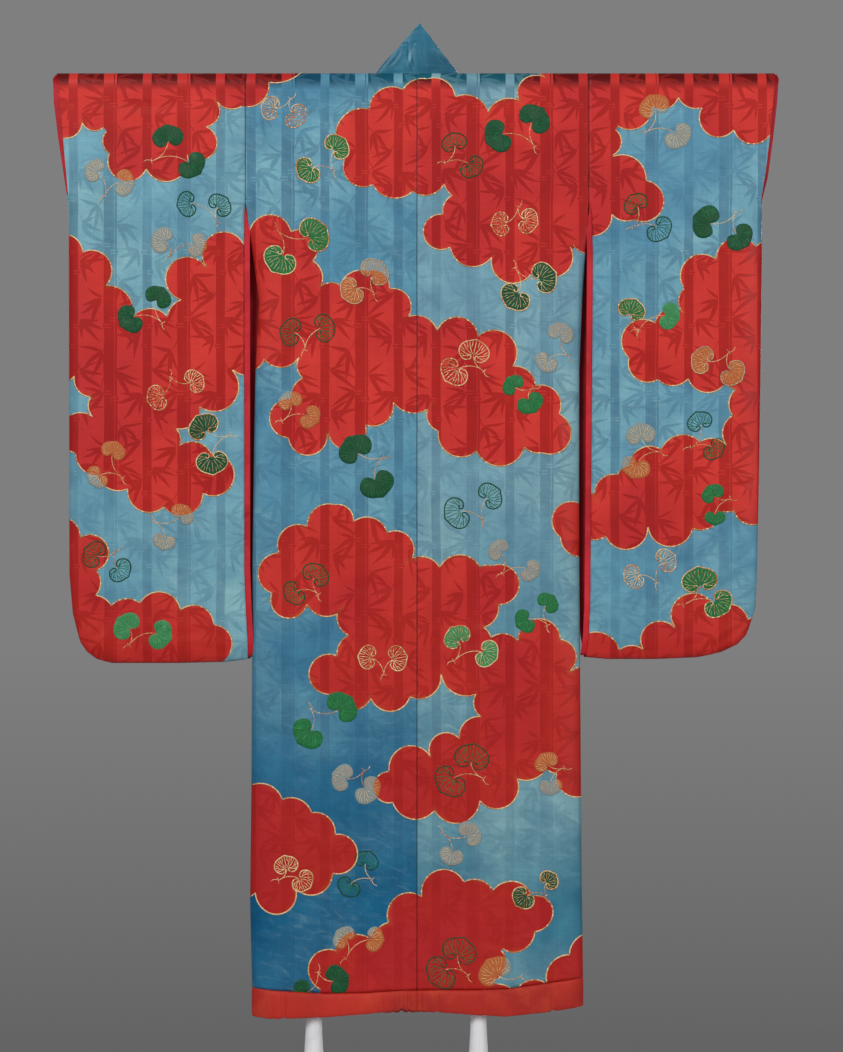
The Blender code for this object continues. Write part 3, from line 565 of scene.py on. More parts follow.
def inner_edge(fall):
    """A half body's inner edge on the front, from the neck's cut at the top to the
    overlap's seam, and above it the collar's."""
    line = collar_line(COLLAR_SEAM, SHOULDER_Z - np.abs(fall)) - COLLAR_TUCK
    arc = np.arccos(np.clip(1.0 - np.abs(fall) / OUT_R, 0.0, 1.0)) / (math.pi / 2)
    return NECK_HALF + (np.maximum(OVERLAP_SEAM + HALF_GAP, line) - NECK_HALF) * arc


def steps(start, end):
    """Shares from 0 to 1, at most a step apart."""
    return np.linspace(0.0, 1.0, int(math.ceil((end - start) / STEP)) + 1)[1:]


def body_piece(side):
    """One half of the body, from the back's foot over the shoulder to the front's."""
    fall = falls(BODY_LENGTH)
    edge = read(BODY_SIDE, side, SHOULDER_Z - np.abs(fall))[:, None]
    corner = np.where(fall >= 0.0, NECK_HALF, inner_edge(fall))[:, None]
    sewn = np.tile(SEWN_EDGE, (len(fall), 1))
    neck = sewn[:, -1:] + (corner - sewn[:, -1:]) * steps(SEWN_EDGE[-1], NECK_HALF)
    flat = corner + (edge - SIDE_TURN - corner) * steps(NECK_HALF, BODY_FLAT)
    turn = edge - SIDE_TURN + SIDE_TURN * TURN_SHARES
    own = np.concatenate([sewn, neck, flat, turn, edge + SEWN_OFF], axis=1)
    # In front the neck is cut out
    keep = np.ones((own.shape[0] - 1, own.shape[1] - 1), bool)
    keep[int(np.sum(fall >= 0.0)):, :sewn.shape[1] + neck.shape[1] - 1] = False
    solids = "body_back body_front body_side body_shoulder"
    return panel_piece("body", side, fall, own, body_cloth, solids, keep)


# ---- Overlap panels
# A half width of the same silk is sewn to each front's middle edge and runs up under the
# collar. The wearer's left one lies over the right one.
OVERLAP_EDGE, OVERLAP_TOP = -0.100, 1.745
UNDER_COLLAR = (0.970, 1.030)
OVERLAP_ROWS, OVERLAP_COLUMNS = 250, 26
PRESSED, OVERLAP_SLACK, OVERLAP_PULL = 0.02, 0.0012, 0.0006


def overlap_free(height):
    """Own distance of an overlap's free edge, which slants up under the collar."""
    share = smooth((height - UNDER_COLLAR[0]) / (UNDER_COLLAR[1] - UNDER_COLLAR[0]))
    return OVERLAP_EDGE + share * (collar_line(COLLAR_SEAM, height) - COLLAR_TUCK - OVERLAP_EDGE)


def overlap_cloth(side, own, fall):
    """Points of an overlap, which lies flat, pressed close along both of its edges."""
    x, height = SIGN[side] * own, SHOULDER_Z + fall
    pressed = smooth((OVERLAP_SEAM - own) / PRESSED) * smooth((own - overlap_free(height)) / PRESSED)
    move = np.clip(slack(x, fall) * 0.5 * pressed, -OVERLAP_SLACK, OVERLAP_SLACK)
    move += seam_pucker(OVERLAP_SEAM - own, fall, OVERLAP_PULL)
    depth = front_depth(side, own, height) + move
    return np.stack([x, depth, height + hem_shift("front", x, height)], axis=-1)


def overlap_piece(side):
    """A front's overlap, from its free edge to its seam, and up to the collar."""
    fall = -np.linspace(SHOULDER_Z - OVERLAP_TOP, SHOULDER_Z - HEM_TOP, OVERLAP_ROWS)
    free = overlap_free(SHOULDER_Z + fall)[:, None]
    own = free + (OVERLAP_SEAM - HALF_GAP - free) * np.linspace(0.0, 1.0, OVERLAP_COLUMNS)
    return panel_piece("overlap", side, fall, own, overlap_cloth, "overlap")


# ---- Sleeves
# Each sleeve is one length of the silk folded over the rod, sewn together along its foot
# and up its outer edge to the cuff, and open along its inner edge, where the longer front
# layer shows its red lining past the back one. The foot's outer corner is rounded.
SLEEVE_FOOT, SLEEVE_TURN, SLEEVE_FOOT_TOP = 0.815, 0.045, 0.860
RISE_FADE, CUFF_CLOSE, CUFF_PASS = 1.080, 0.040, (0.004, -0.008)
CUFF_END = {"left": 1.640, "right": 1.6155}
SLEEVE_COLUMNS, LINING_COLUMNS = 46, 15
SLEEVE_EDGE = {
    "left": table("height inner_back inner_front outer_back outer_front", """
        0.815 0.2965 0.2925 0.534 0.534   0.821 0.2965 0.2915 0.56 0.56   0.835 0.2965 0.29 0.579 0.579
        0.853 0.2973 0.288 0.5915 0.5915   0.903 0.3 0.285 0.604 0.604   0.973 0.3025 0.2845 0.61 0.61
        1.125 0.3026 0.2825 0.6102 0.6102   1.33 0.3028 0.277 0.6106 0.6106
        1.45 0.3029 0.271 0.6108 0.6108   1.533 0.303 0.281 0.611 0.611   1.6 0.3025 0.294 0.611 0.611
        1.626 0.3003 0.3003 0.611 0.614   1.64 0.3003 0.3003 0.611 0.6165
        1.736 0.3003 0.3003 0.6195 0.631   1.8 0.3003 0.3003 0.6245 0.639   1.85 0.3003 0.3003 0.628 0.641
    """),
    "right": table("height inner_back inner_front outer_back outer_front", """
        0.815 0.2965 0.293 0.49 0.49   0.821 0.2972 0.292 0.53 0.53   0.835 0.2992 0.29 0.562 0.562
        0.853 0.3012 0.287 0.579 0.579   0.903 0.3035 0.282 0.594 0.594   0.973 0.304 0.2815 0.5965 0.5965
        1.14 0.3055 0.281 0.6 0.6   1.27 0.3065 0.279 0.602 0.602   1.45 0.3076 0.283 0.6044 0.6044
        1.533 0.308 0.289 0.6055 0.6055   1.6 0.306 0.296 0.604 0.604   1.626 0.3003 0.3003 0.602 0.6065
        1.668 0.3003 0.3003 0.609 0.617   1.736 0.3003 0.3003 0.6175 0.6265
        1.8 0.3003 0.3003 0.6235 0.6335   1.85 0.3003 0.3003 0.628 0.637
    """),
}
# How much the sleeve's foot rises along its width
SLEEVE_RISE = table("own left right", """
    0.29 0.008 0.011   0.334 0.002 0.007   0.42 0 0.007   0.49 0 0.01   0.56 0 0.013
""")


def sleeve_edges(side, fall):
    """Inner and outer own distances at falls. Over the rod the back's pass to the front's."""
    share = smooth((CUFF_PASS[0] - fall) / (CUFF_PASS[0] - CUFF_PASS[1]))
    height = SHOULDER_Z - np.abs(fall)
    layers = SLEEVE_EDGE[side]
    return [
        read(layers, f"{edge}_back", height) * (1.0 - share) + read(layers, f"{edge}_front", height) * share
        for edge in ("inner", "outer")
    ]


def sleeve_cloth(side, own, fall, outer):
    """Points of a sleeve: flat layers that turn in on quarter ellipses to the seams along
    the outer edge and the foot: depth = seam + (depth - seam) sqrt(1 - t t)."""
    height = SHOULDER_Z - np.abs(fall)
    closed = smooth((CUFF_END[side] - height) / CUFF_CLOSE)
    flat = read(DEPTH, "sleeve", height)
    turned = bend((own - outer + SLEEVE_TURN) / SLEEVE_TURN)
    low = np.clip((SLEEVE_FOOT_TOP - height) / SLEEVE_TURN, 0.0, 1.0)
    depth = flat + closed * (SEAM_HALF + (flat - SEAM_HALF) * turned - flat)
    depth = SEAM_HALF + (depth - SEAM_HALF) * bend(low)
    sewn = np.maximum(closed * (own > outer), low > 0.99999)
    depth += sewn * (CLOSING - depth)
    x = SIGN[side] * own
    rise = np.clip((RISE_FADE - height) / (RISE_FADE - SLEEVE_FOOT_TOP), 0.0, 1.0)
    move = slack(x, fall) * (1.0 - closed * (1.0 - turned)) * bend(low) * (1.0 - sewn)
    return hung(x, fall, depth, move, read(SLEEVE_RISE, side, own, key="own") * rise)


def sleeve_piece(side):
    """A sleeve from the back's foot seam over the rod to the front's."""
    foot = SHOULDER_Z - SLEEVE_FOOT_TOP
    fall = falls(foot, foot + SLEEVE_TURN * TURN_SHARES)
    inner, outer = (edge[:, None] for edge in sleeve_edges(side, fall))
    flat = inner + (outer - SLEEVE_TURN - inner) * np.linspace(0.0, 1.0, SLEEVE_COLUMNS)
    own = np.concatenate([flat, outer - SLEEVE_TURN + SLEEVE_TURN * TURN_SHARES, outer + SEWN_OFF], axis=1)
    cloth = partial(sleeve_cloth, outer=np.broadcast_to(outer, own.shape))
    solids = "sleeve_back sleeve_front sleeve_edge sleeve_foot sleeve_shoulder"
    return panel_piece("sleeve", side, fall, own, cloth, solids)


# ---- Sleeve lining
# The red silk lining is plain woven. It rolls out past the back layer's inner edge as a
# narrow bright fold, and shows darker behind that in the open sleeve, and round the cuff.
LINING_WALL, LINING_WIDTH, CUFF_LINING_WIDTH = 0.0007, 0.040, 0.036
LINING_TOP, LINING_FOOT = 1.600, 0.870
FOLD_SHOWN, FOLD_WIDTH, FOLD_TOP, FOLD_FOOT = 0.0105, 0.034, 1.626, 0.818


def lining_piece(name, side, fall, free, width, flat, *solids):
    """A strip close inside the sleeve's cloth, which runs from its free edge inwards."""
    own = free[:, None] + width * np.linspace(0.0, 1.0, LINING_COLUMNS)
    rows = np.broadcast_to(fall[:, None], own.shape)
    outer = np.maximum(sleeve_edges(side, fall)[1][:, None], own)
    edge_way = np.abs(own - free[:, None])
    waves = 0.0006 * np.sin(rows * 61.0 + 4.0 * np.sin(rows * 17.0)) * smooth(edge_way / 0.02)
    waves += 0.00025 * np.sin(rows * 260.0 + own * 90.0) * smooth(edge_way / 0.01)
    points = sleeve_cloth(side, own, rows, outer)
    inside = CLOTH_WALL + 2 * HALF_GAP + np.abs(waves)
    out_depth, out_height = over_rod(rows, own)[2:]
    points[..., 1] += np.sign(rows) * inside * out_depth
    points[..., 2] -= inside * out_height
    flip = (width < 0.0) != (fall[0] > 0.0)
    made = cloth_piece(f"{name}_silk_{side}", side, points, own, rows, lining_silk, LINING_WALL, flip=flip)
    sew(made, "lining_silk", *solids)


# ---- Collar
# A doubled band of plain blue silk. It stands in a peak at the back neck, turns over the
# shoulders and crosses low on the fronts, the wearer's left over the right. It is stiff
# with its inner cloth and stitched to the neck edge, with creases where it folds.
COLLAR_WALL = 0.003
COLLAR_FREE, COLLAR_PEAK = (-0.100, 0.045), (0.005, 1.938)
BACK_SEAM, BACK_FREE, BACK_FALL = 0.068, 0.056, 0.069
BACK_Y, BACK_LEAN_SEAM, BACK_LEAN_FREE, BACK_CLEAR = -0.0006, 0.0035, 0.0052, 0.0005
ROD_R = 0.017
COLLAR_STAND, COLLAR_STAND_FROM = 0.0065, 1.560
COLLAR_TURN = table("angle seam free depth height", """
    25 0.071 0.0565 0.006 1.866   50 0.076 0.0535 0.018 1.86   75 0.0798 0.049 0.0255 1.85
""")
COLLAR_HEIGHTS = (1.830, 1.800, 1.750, 1.700, 1.626, 1.533, 1.440, 1.350, 1.250, 1.150, 1.030, 0.996)
COLLAR_ROWS, COLLAR_COLUMNS, COLLAR_FOLD = 420, 25, 0.0012


def through(places, share):
    """A smooth curve through rows of places: each span is a cubic whose ends take the
    slope from the place before to the place after."""
    spot = share * (len(places) - 1)
    k = np.minimum(spot.astype(int), len(places) - 2)
    t = (spot - k)[:, None]
    padded = np.concatenate([2 * places[:1] - places[1:2], places, 2 * places[-1:] - places[-2:-1]])
    a, b, c, d = padded[k], padded[k + 1], padded[k + 2], padded[k + 3]
    curve = 2 * b + (c - a) * t + (2 * a - 5 * b + 4 * c - d) * t**2 + (3 * b - a - 3 * c + d) * t**3
    return curve / 2


def collar_stations(side):
    """Free edge and seam of the collar at stations from the back's middle to its end."""
    peak = SIGN[side] * COLLAR_PEAK[0]
    free, seam = [], []
    for t in np.linspace(0.0, 1.0, 5):
        own, height = peak + (BACK_FREE - peak) * t, COLLAR_PEAK[1] - BACK_FALL * t
        free.append((own, BACK_Y + BACK_LEAN_FREE * t * t, height))
        seam.append((BACK_SEAM * t, BACK_Y + BACK_LEAN_SEAM * t * t, ROD_Z + ROD_R + BACK_CLEAR))
    reach = OUT_R + 2 * HALF_GAP + COLLAR_WALL / 2
    for angle, seam_own, free_own, depth, height in zip(*COLLAR_TURN.values()):
        turn = math.radians(angle)
        seam.append((seam_own, reach * math.sin(turn), ROD_Z + reach * math.cos(turn)))
        free.append((free_own, depth, height))
    for height in COLLAR_HEIGHTS:
        stand = COLLAR_STAND * smooth((height - COLLAR_STAND_FROM) / (COLLAR_TOP - COLLAR_STAND_FROM))
        for line, ends, off in ((seam, COLLAR_SEAM, 0.0), (free, COLLAR_FREE, stand)):
            own = collar_line(ends, height)
            depth = float(front_depth(side, own, height)) + 2 * HALF_GAP + COLLAR_WALL / 2 + off
            line.append((own, depth, height))
    return np.array(free), np.array(seam)


# Creases and pressed folds of the collar at the back, as in the tables of the cloth. The
# ones with a depth below 0 stand out.
COLLAR_CREASES = table("across fall length half slope deep", """
    -13 -30 44 4.8 86 -3.2   -12 -52 44 2.6 -6 1.1   27 -45 40 2.2 14 0.9   27 -57 26 2.2 56 0.9
    27 -11 34 2.5 3 -0.8   3 -76 26 3 -20 0.8   -38 -24 30 4 -52 0.8   46 -22 26 3.5 40 0.8
    10 -30 40 7 80 0.6
""")


def lengths(path):
    """Running length along a row of places."""
    return np.concatenate([[0.0], np.cumsum(np.linalg.norm(np.diff(path, axis=0), axis=1))])


def collar_piece():
    """A strip between two smooth curves, from the left front's end round the neck to the
    right's. Across it the cloth bows out by a low arch, 4 t (1 - t)."""
    along = np.linspace(0.0, 1.0, COLLAR_ROWS)
    free, seam = (
        np.concatenate([through(left, along)[:0:-1] * (-1.0, 1.0, 1.0), through(right, along)])
        for left, right in zip(collar_stations("left"), collar_stations("right"))
    )
    t = np.linspace(0.0, 1.0, COLLAR_COLUMNS)
    points = free[:, None] + (seam - free)[:, None] * t[None, :, None]
    out = np.cross(np.gradient(points, axis=1), np.gradient(points, axis=0))
    out /= np.linalg.norm(out, axis=2)[..., None]
    length = lengths((free + seam) / 2)[:, None]
    waves = 0.00035 * np.sin(length * 96.0 + 3.0 * np.sin(length * 13.0)) * np.sin(t * math.pi) ** 0.5
    folds = crease(points[..., 0], SHOULDER_Z - points[..., 2], COLLAR_CREASES)
    stitched = 0.0006 * np.exp(-(((t - 0.94) / 0.03) ** 2)) * (1.0 + 0.4 * np.sin(length * 700.0))
    move = waves + folds + 0.0007 * 4.0 * t * (1.0 - t) - stitched
    points = points + out * move[..., None]
    width = np.linalg.norm(seam - free, axis=1)
    spread = np.stack([t[None, :] * width[:, None], np.broadcast_to(length, points.shape[:2])], axis=-1)
    made = mesh_object("collar_silk", points, grid_faces(points.shape[:2]), [collar_silk], spread)
    band = made.modifiers.new("Doubled cloth", "SOLIDIFY")
    band.thickness, band.offset = COLLAR_WALL, 0.0
    band.use_even_offset = band.use_quality_normals = True
    edges = made.modifiers.new("Folded edges", "BEVEL")
    edges.width, edges.segments, edges.angle_limit = COLLAR_FOLD, 2, math.radians(50.0)
    sew(made, "collar_silk", "collar_left", "collar_right")


# ---- Padded hem
# The hem is a roll of plain orange-red silk filled with cotton wadding, sewn to the lower
# edges. It is fuller between the places where threads draw it in, most of them near the
# middle seam.
HEM_DRAWS = table("across strong half", """
    -42 0.4 3.4   -27 0.6 5.5   -14 0.46 3   -1 0.36 3   7 0.4 3   21 0.24 4   36 0.42 4   -62 0.3 4
    -74 0.24 3.5   -121 0.2 4   -176 0.18 5   -233 0.44 5   -251 0.36 4   76 0.2 4   118 0.22 4
    164 0.18 4.5   203 0.22 4   238 0.46 5
""")
HEM_STEP, HEM_INSIDE = 0.0015, 0.001
HEM_OUT, HEM_IN, HEM_SPOKES = 0.0075, 0.0045, 28


def tube(index):
    """Faces between rings of points, whose numbers are the rows of an index."""
    turned = np.roll(index, -1, axis=1)
    return np.stack([index[:-1], index[1:], turned[1:], turned[:-1]], axis=-1).reshape(-1, 4)


def face_outwards(mesh):
    found = bmesh.new()
    found.from_mesh(mesh)
    bmesh.ops.recalc_face_normals(found, faces=found.faces[:])
    found.to_mesh(mesh)
    found.free()


def hem_piece(name, side, face, start, end):
    """A roll: rounded sections, |cos|^0.5 by |sin|^0.6, carried along the lower edge and
    out from the middle plane. Where threads draw it in, it is thinner by a soft dip."""
    depth = float(read(DEPTH, "body", HEM_TOP)) - HEM_INSIDE
    edge = float(read(BODY_SIDE, side, HEM_TOP)) - HEM_INSIDE
    stop = edge - SIDE_TURN if end is None else end
    own = np.linspace(start, stop, int((stop - start) / HEM_STEP) + 1)
    deep = np.full(len(own), depth) if face == "back" else front_depth(side, own, HEM_TOP) - HEM_INSIDE
    if end is None:
        angle = np.linspace(0.0, math.pi / 2, 17)[1:]
        own = np.concatenate([own, edge - SIDE_TURN + SIDE_TURN * np.sin(angle), [edge]])
        deep = np.concatenate([deep, SEAM_HALF + (depth - SEAM_HALF) * np.cos(angle), [HALF_GAP]])
    sign = -1.0 if face == "back" else 1.0
    path = np.stack([own, sign * deep], axis=1)
    ahead = np.gradient(path, axis=0)
    ahead /= np.linalg.norm(ahead, axis=1)[:, None]
    outward = np.stack([-ahead[:, 1], ahead[:, 0]], axis=1) * sign
    x = SIGN[side] * own
    top = read(HEM_LINE[face], "top", x, key="across") - 2 * HALF_GAP
    bottom = read(HEM_LINE[face], "bottom", x, key="across")
    ring = np.linspace(0.0, 2.0 * math.pi, HEM_SPOKES, endpoint=False)
    wide = np.sign(np.cos(ring)) * np.abs(np.cos(ring)) ** 0.5
    tall = np.sign(np.sin(ring)) * np.abs(np.sin(ring)) ** 0.6
    full = 1.0 + 0.10 * np.sin(x * 88.0 + 1.0) * np.sin(x * 31.0) + 0.05 * np.sin(x * 190.0)
    tight = np.ones(len(x))
    for across, strong, wide_half in zip(*HEM_DRAWS.values()):
        drawn = strong * np.exp(-(((x * 1000 - across) / wide_half) ** 2))
        full -= drawn
        tight -= 0.5 * drawn**2
    half = np.where(wide[None] > 0.0, HEM_OUT, HEM_IN) * full[:, None]
    wrinkle = 0.00045 * np.sin(x * 520.0 + 2.0 * np.sin(x * 70.0))[:, None] * np.abs(np.sin(ring))[None] ** 2
    # The roll thins out where it turns in to the side seam
    thin = np.ones(len(own)) if end is not None else 1.0 - 0.8 * smooth((own - stop) / SIDE_TURN)
    half = half * np.where(wide[None] > 0.0, thin[:, None], 1.0)
    points = np.empty((len(own), len(ring), 3))
    off = wide[None] * half + wrinkle * thin[:, None]
    points[..., :2] = path[:, None] + outward[:, None] * off[..., None]
    half_tall = ((top - bottom) / 2)[:, None]
    half_tall = np.where(tall > 0.0, half_tall, half_tall * tight[:, None])
    points[..., 2] = ((top + bottom) / 2)[:, None] + half_tall * tall
    points[..., 0] *= SIGN[side]
    index = np.arange(len(own) * len(ring)).reshape(len(own), len(ring))
    faces = [*tube(index)[:, [0, 3, 2, 1]].tolist(), index[0][::-1].tolist(), index[-1].tolist()]
    made = mesh_object(f"{name}_roll_{side}", points, faces, [hem_silk])
    face_outwards(made.data)
    sew(made, "hem_silk", f"{name}_{side}")


# ---- Silk damask
# Figured silk: bamboo stands in satin on a plain ground, so it shines apart from it. The
# cloth was dyed red inside the clouds and blue outside, by hand, so the dye is mottled,
# drags along the weft and has crept a little at the clouds' edges.
REPEAT_WIDE, REPEAT_LONG = 0.1288, 0.2572
WIDE_CULM, NARROW_CULM = 0.0115, 0.0078
CULM_X = {
    "body_left": -0.22575, "body_right": 0.0980, "sleeve_left": -0.537, "sleeve_right": 0.41125,
    "overlap_left": -0.190, "overlap_right": 0.140,
}
# Bamboo leaves on half a repeat, in millimetres: root across and down, direction in degrees
# from straight down, length, half of the greatest width, and how far the tip bends aside
LEAVES = table("across down toward length half bend", """
    13 22 52 50 3.9 5   12 24 84 38 3.3 -4   14 22 24 56 4.2 4   12 20 118 30 2.8 3   54 58 -62 47 3.8 -5
    55 60 -96 36 3.2 4   54 60 -34 52 4.2 -6   55 61 -8 34 3 0   20 116 6 50 3.9 5   21 115 46 43 3.6 -5
    20 116 -20 33 3 3   21 114 96 37 3.2 4   53 146 -78 43 3.6 4   52 148 -46 56 4.3 -5
    54 146 -112 31 2.8 0   14 186 68 46 3.8 -4   13 188 33 58 4.3 6   14 186 101 35 3 3
    52 216 -52 33 3.4 3   53 215 -86 46 3.7 -5   52 217 -18 38 3.2 0   54 214 -124 33 2.9 4
    10 96 20 30 0.9 6   58 132 -22 28 0.9 -5   9 160 14 36 0.9 5
""")
# Joints of the stems, down the repeat in metres
WIDE_JOINTS, NARROW_JOINTS = (0.186, 0.069), (0.070, 0.233)
# Where the sleeves are sewn on: off the middle, and down to this height
SLEEVE_SEAM, SEWN_FROM = 0.30015, 1.626


def largest(node, *values):
    return reduce(partial(node, "Math MAXIMUM"), values)


def apart(node, one, other):
    return node("Math ABSOLUTE", node("Math SUBTRACT", one, other))


def leaf(node, place, row):
    """How far inside one bamboo leaf a place lies, in half widths: the leaf is as wide as
    2.6 sqrt(t) (1 - t) half widths, t being the share of its length, round a midline that
    bends aside by t squared."""
    across, down, toward, length, half, tip = row
    root, turn = (across / 1000, down / 1000, 0.0), (0.0, 0.0, -math.radians(toward))
    local = node("Mapping", place, root, turn, (half / 1000, length / 1000, 1.0), vector_type="TEXTURE")
    aside, share, _ = node("SeparateXYZ", local, out=None)
    squared = node("Math MULTIPLY", share, share)
    aside = node("Math ABSOLUTE", node("Math MULTIPLY_ADD", squared, -tip / half, aside))
    taper = node("Math MULTIPLY", node("Math SQRT", share), node("Math SUBTRACT", 1.0, share))
    return node("Math SUBTRACT", node("Math MULTIPLY", taper, 2.6), aside)


def stem(node, aside, down, half, joints):
    """A bamboo stem: a band with a fine pale line in it, a little wider at its joints,
    which are marked by pale lines across."""
    far = [apart(node, down, joint) for joint in joints]
    swell = largest(node, *[node("MapRange", way, 0.0060, 0.0022) for way in far])
    seams = [node("MapRange", apart(node, way, 0.0026), 0.0013, 0.0006) for way in far]
    width = node("Math MULTIPLY_ADD", swell, 0.0022, half)
    band = node("MapRange", node("Math SUBTRACT", width, node("Math ABSOLUTE", aside)), -0.0004, 0.0004)
    pale = largest(node, node("MapRange", apart(node, aside, 0.62 * half), 0.0011, 0.0005), *seams)
    return node("Math MULTIPLY", band, node("Math MULTIPLY_ADD", pale, -0.62, 0.92))


def half_repeat(node, spread):
    """The two halves of a repeat folded onto one: mirrored across, and the left half moved
    down by half a repeat. Gives the place across as it lies and folded, and down."""
    half = REPEAT_WIDE / 2
    tile = node("VectorMath WRAP", spread, (half, REPEAT_LONG, 1.0), (-half, 0.0, -1.0))
    across, down, _ = node("SeparateXYZ", tile, out=None)
    moved = node("Math MULTIPLY_ADD", node("Math LESS_THAN", across, 0.0), REPEAT_LONG / 2, down)
    return across, node("Math ABSOLUTE", across), node("Math WRAP", moved, REPEAT_LONG, 0.0)


def damask(name, blue_high, blue_low, pale, pale_low):
    """Bamboo damask with its own blues: high and low on the cloth, and in paler patches,
    with the share of those that is left low down."""
    tint = colour("#FFE9DC")
    made, node, shader = material(
        name, Sheen_Weight=0.05, Sheen_Roughness=0.35, Sheen_Tint=tint, Specular_IOR_Level=0.18
    )
    cloth = node("UVMap", uv_map="Cloth")
    spot = node("TexCoord", out="Object")
    x, y, height = node("SeparateXYZ", spot, out=None)

    # The threads run a little askew, and the leaves more than the stems
    folds = []
    for scale, detail, strength in ((9.0, 1.0, (0.004, 0.004, 0.0)), (17.0, 0.5, (0.020, 0.024, 0.0))):
        sway = node("TexNoise", Vector=cloth, Scale=scale, Detail=detail, out="Color")
        sway = node("VectorMath SUBTRACT", sway, (0.5, 0.5, 0.5))
        folds.append(half_repeat(node, node("VectorMath MULTIPLY_ADD", sway, strength, cloth)))
    across, folded, down = folds[0]
    place = node("CombineXYZ", *folds[1][1:])
    leaves = largest(node, *[leaf(node, place, row) for row in zip(*LEAVES.values())])
    leaves = node("MapRange", leaves, -0.04, 0.14)
    from_narrow = node("Math SUBTRACT", folded, REPEAT_WIDE / 2)
    stems = largest(
        node,
        stem(node, across, down, WIDE_CULM, WIDE_JOINTS),
        stem(node, from_narrow, down, NARROW_CULM, NARROW_JOINTS),
    )
    over = node("Math MULTIPLY_ADD", leaves, -0.30, 1.0)
    figure = largest(node, node("Math MULTIPLY", stems, over), node("Math MULTIPLY", leaves, 0.85))

    low = node("MapRange", height, 1.14, 0.45)
    kept = node("Math MULTIPLY_ADD", low, pale_low - 1.0, 1.0)
    mottle = node("TexNoise", Vector=spot, Scale=16.0, Detail=5.0, Roughness=0.62)
    patch = node("TexNoise", Vector=spot, Scale=4.5, Detail=2.0)
    weft, warp = (
        node("TexNoise", Vector=node("Mapping", Vector=spot, Scale=scale), Scale=1.0, Detail=detail)
        for scale, detail in (((22.0, 22.0, 640.0), 3.0), ((420.0, 60.0, 11.0), 2.0))
    )
    wipe = node(
        "Mapping", Vector=spot, Rotation=(0.0, 0.35, 0.0), Scale=(0.034, 0.020, 0.013), vector_type="TEXTURE"
    )
    wipe = node("TexNoise", Vector=wipe, Scale=1.0, Detail=4.0, Roughness=0.6, Distortion=0.8)

    # Blue ground: paler in patches, deeper in the mottle, and wiped pale here and there
    blue = node("MixRGB", low, colour(blue_high), colour(blue_low))
    paler = node("Math MULTIPLY", node("MapRange", patch, 0.44, 0.70), kept)
    blue = node("MixRGB", paler, blue, colour(pale))
    deep = node("MixRGB MULTIPLY", 0.45, blue, colour("#1D7CA8"))
    blue = node("MixRGB", node("MapRange", mottle, 0.30, 0.74), deep, blue)
    wiped = node("MapRange", wipe, 0.52, 0.76, 0.0, 0.38)
    for share in (node("MapRange", patch, 0.40, 0.58), largest(node, kept, 0.5)):
        wiped = node("Math MULTIPLY", wiped, share)
    blue = node("MixRGB", wiped, blue, colour("#A9CDCF"))
    # Red clouds: crimson in patches, with the gold's rust along their edges
    red = node("MixRGB", low, colour("#E23C34"), colour("#C42C26"))
    deep = node("MixRGB MULTIPLY", 0.28, red, colour("#B02A22"))
    red = node("MixRGB", node("MapRange", mottle, 0.35, 0.75), deep, red)
    red = layered(node, red, (patch, (0.54, 0.40, 0.0, 0.45), "#B61E2A"))
    cloud = node("Attribute", attribute_name="cloud", out="Fac")
    rust = node("MapRange", mottle, 0.50, 0.66, 0.0, 0.7)
    rust = node("Math MULTIPLY", node("MapRange", cloud, 0.0075, 0.0), rust)
    red = node("MixRGB", rust, red, colour("#B9602C"))
    inside = node("MapRange", cloud, -0.0002, 0.0002)
    ground = node("MixRGB", inside, blue, red)

    dark_blue = node("MixRGB MULTIPLY", 0.55, blue, colour("#2F74A0"))
    dark_red = node("MixRGB MULTIPLY", 0.62, red, colour("#B4242E"))
    dark = node("MixRGB", inside, dark_blue, dark_red)
    # On the blue the dye hides the figure in places, and the leaves more than the stems
    hidden = node("MapRange", patch, 0.40, 0.62, 0.35, 0.95)
    hidden = node("Math MULTIPLY", hidden, node("MapRange", leaves, 0.0, 1.0, 1.0, 0.72))
    shown = node("MixRGB", inside, hidden, (1.0, 1.0, 1.0, 1.0))
    # Painted light: lower down, the figure is painted fainter on blue and red alike, where the satin's sheen
    # evens it out with the ground
    shown = node("Math MULTIPLY", shown, node("MapRange", height, 0.40, 1.20, 0.25, 1.0))
    silk = node("MixRGB", node("Math MULTIPLY", figure, shown), ground, dark)
    for threads, span in ((weft, (0.3, 0.7, 0.91, 1.0)), (warp, (0.35, 0.65, 0.94, 1.0))):
        silk = node("MixRGB MULTIPLY", 1.0, silk, node("MapRange", threads, *span))

    # Painted shade: thin dark lines in the grooves where the two backs, and the sleeves and the body, are
    # sewn together
    middle = node("Math ABSOLUTE", x)
    sleeve = node("Math ADD", node("Math LESS_THAN", height, SEWN_FROM), apart(node, middle, SLEEVE_SEAM))
    middle = node("Math ADD", node("Math GREATER_THAN", y, 0.0), middle)
    sewn = node("MapRange", node("Math MINIMUM", middle, sleeve), 0.0018, 0.0008, 0.0, 0.42)
    silk = node("MixRGB MULTIPLY", sewn, silk, colour("#2A1018"))

    # Painted light over the shoulder fold, where the satin turns up over the rod: the stems are painted pale
    # as a painted highlight, and the rest dark as a painted shade
    roll = node("MapRange", height, 1.8190, 1.8345)
    fold_highlight_and_shade = largest(node, node("Math MULTIPLY", leaves, 0.3), node("MapRange", stems, 0.25, 0.75))
    # Colours of the painted shade, on blue and on red, and of the stems' painted highlight
    deep = node("MixRGB", inside, (0.02, 0.22, 0.28, 1.0), (0.17, 0.02, 0.03, 1.0))
    fold_highlight_and_shade = node("MixRGB", fold_highlight_and_shade, deep, (0.84, 0.84, 0.84, 1.0))
    relief = node("Math MULTIPLY_ADD", figure, 0.4, weft)
    finish(
        shader,
        Base_Color=node("MixRGB", roll, silk, node("MixRGB MULTIPLY", 1.0, ground, fold_highlight_and_shade)),
        Roughness=node("Math MULTIPLY_ADD", figure, -0.10, 0.52),
        Normal=node("Bump", Height=relief, Strength=0.20, Distance=0.0004),
    )
    return made


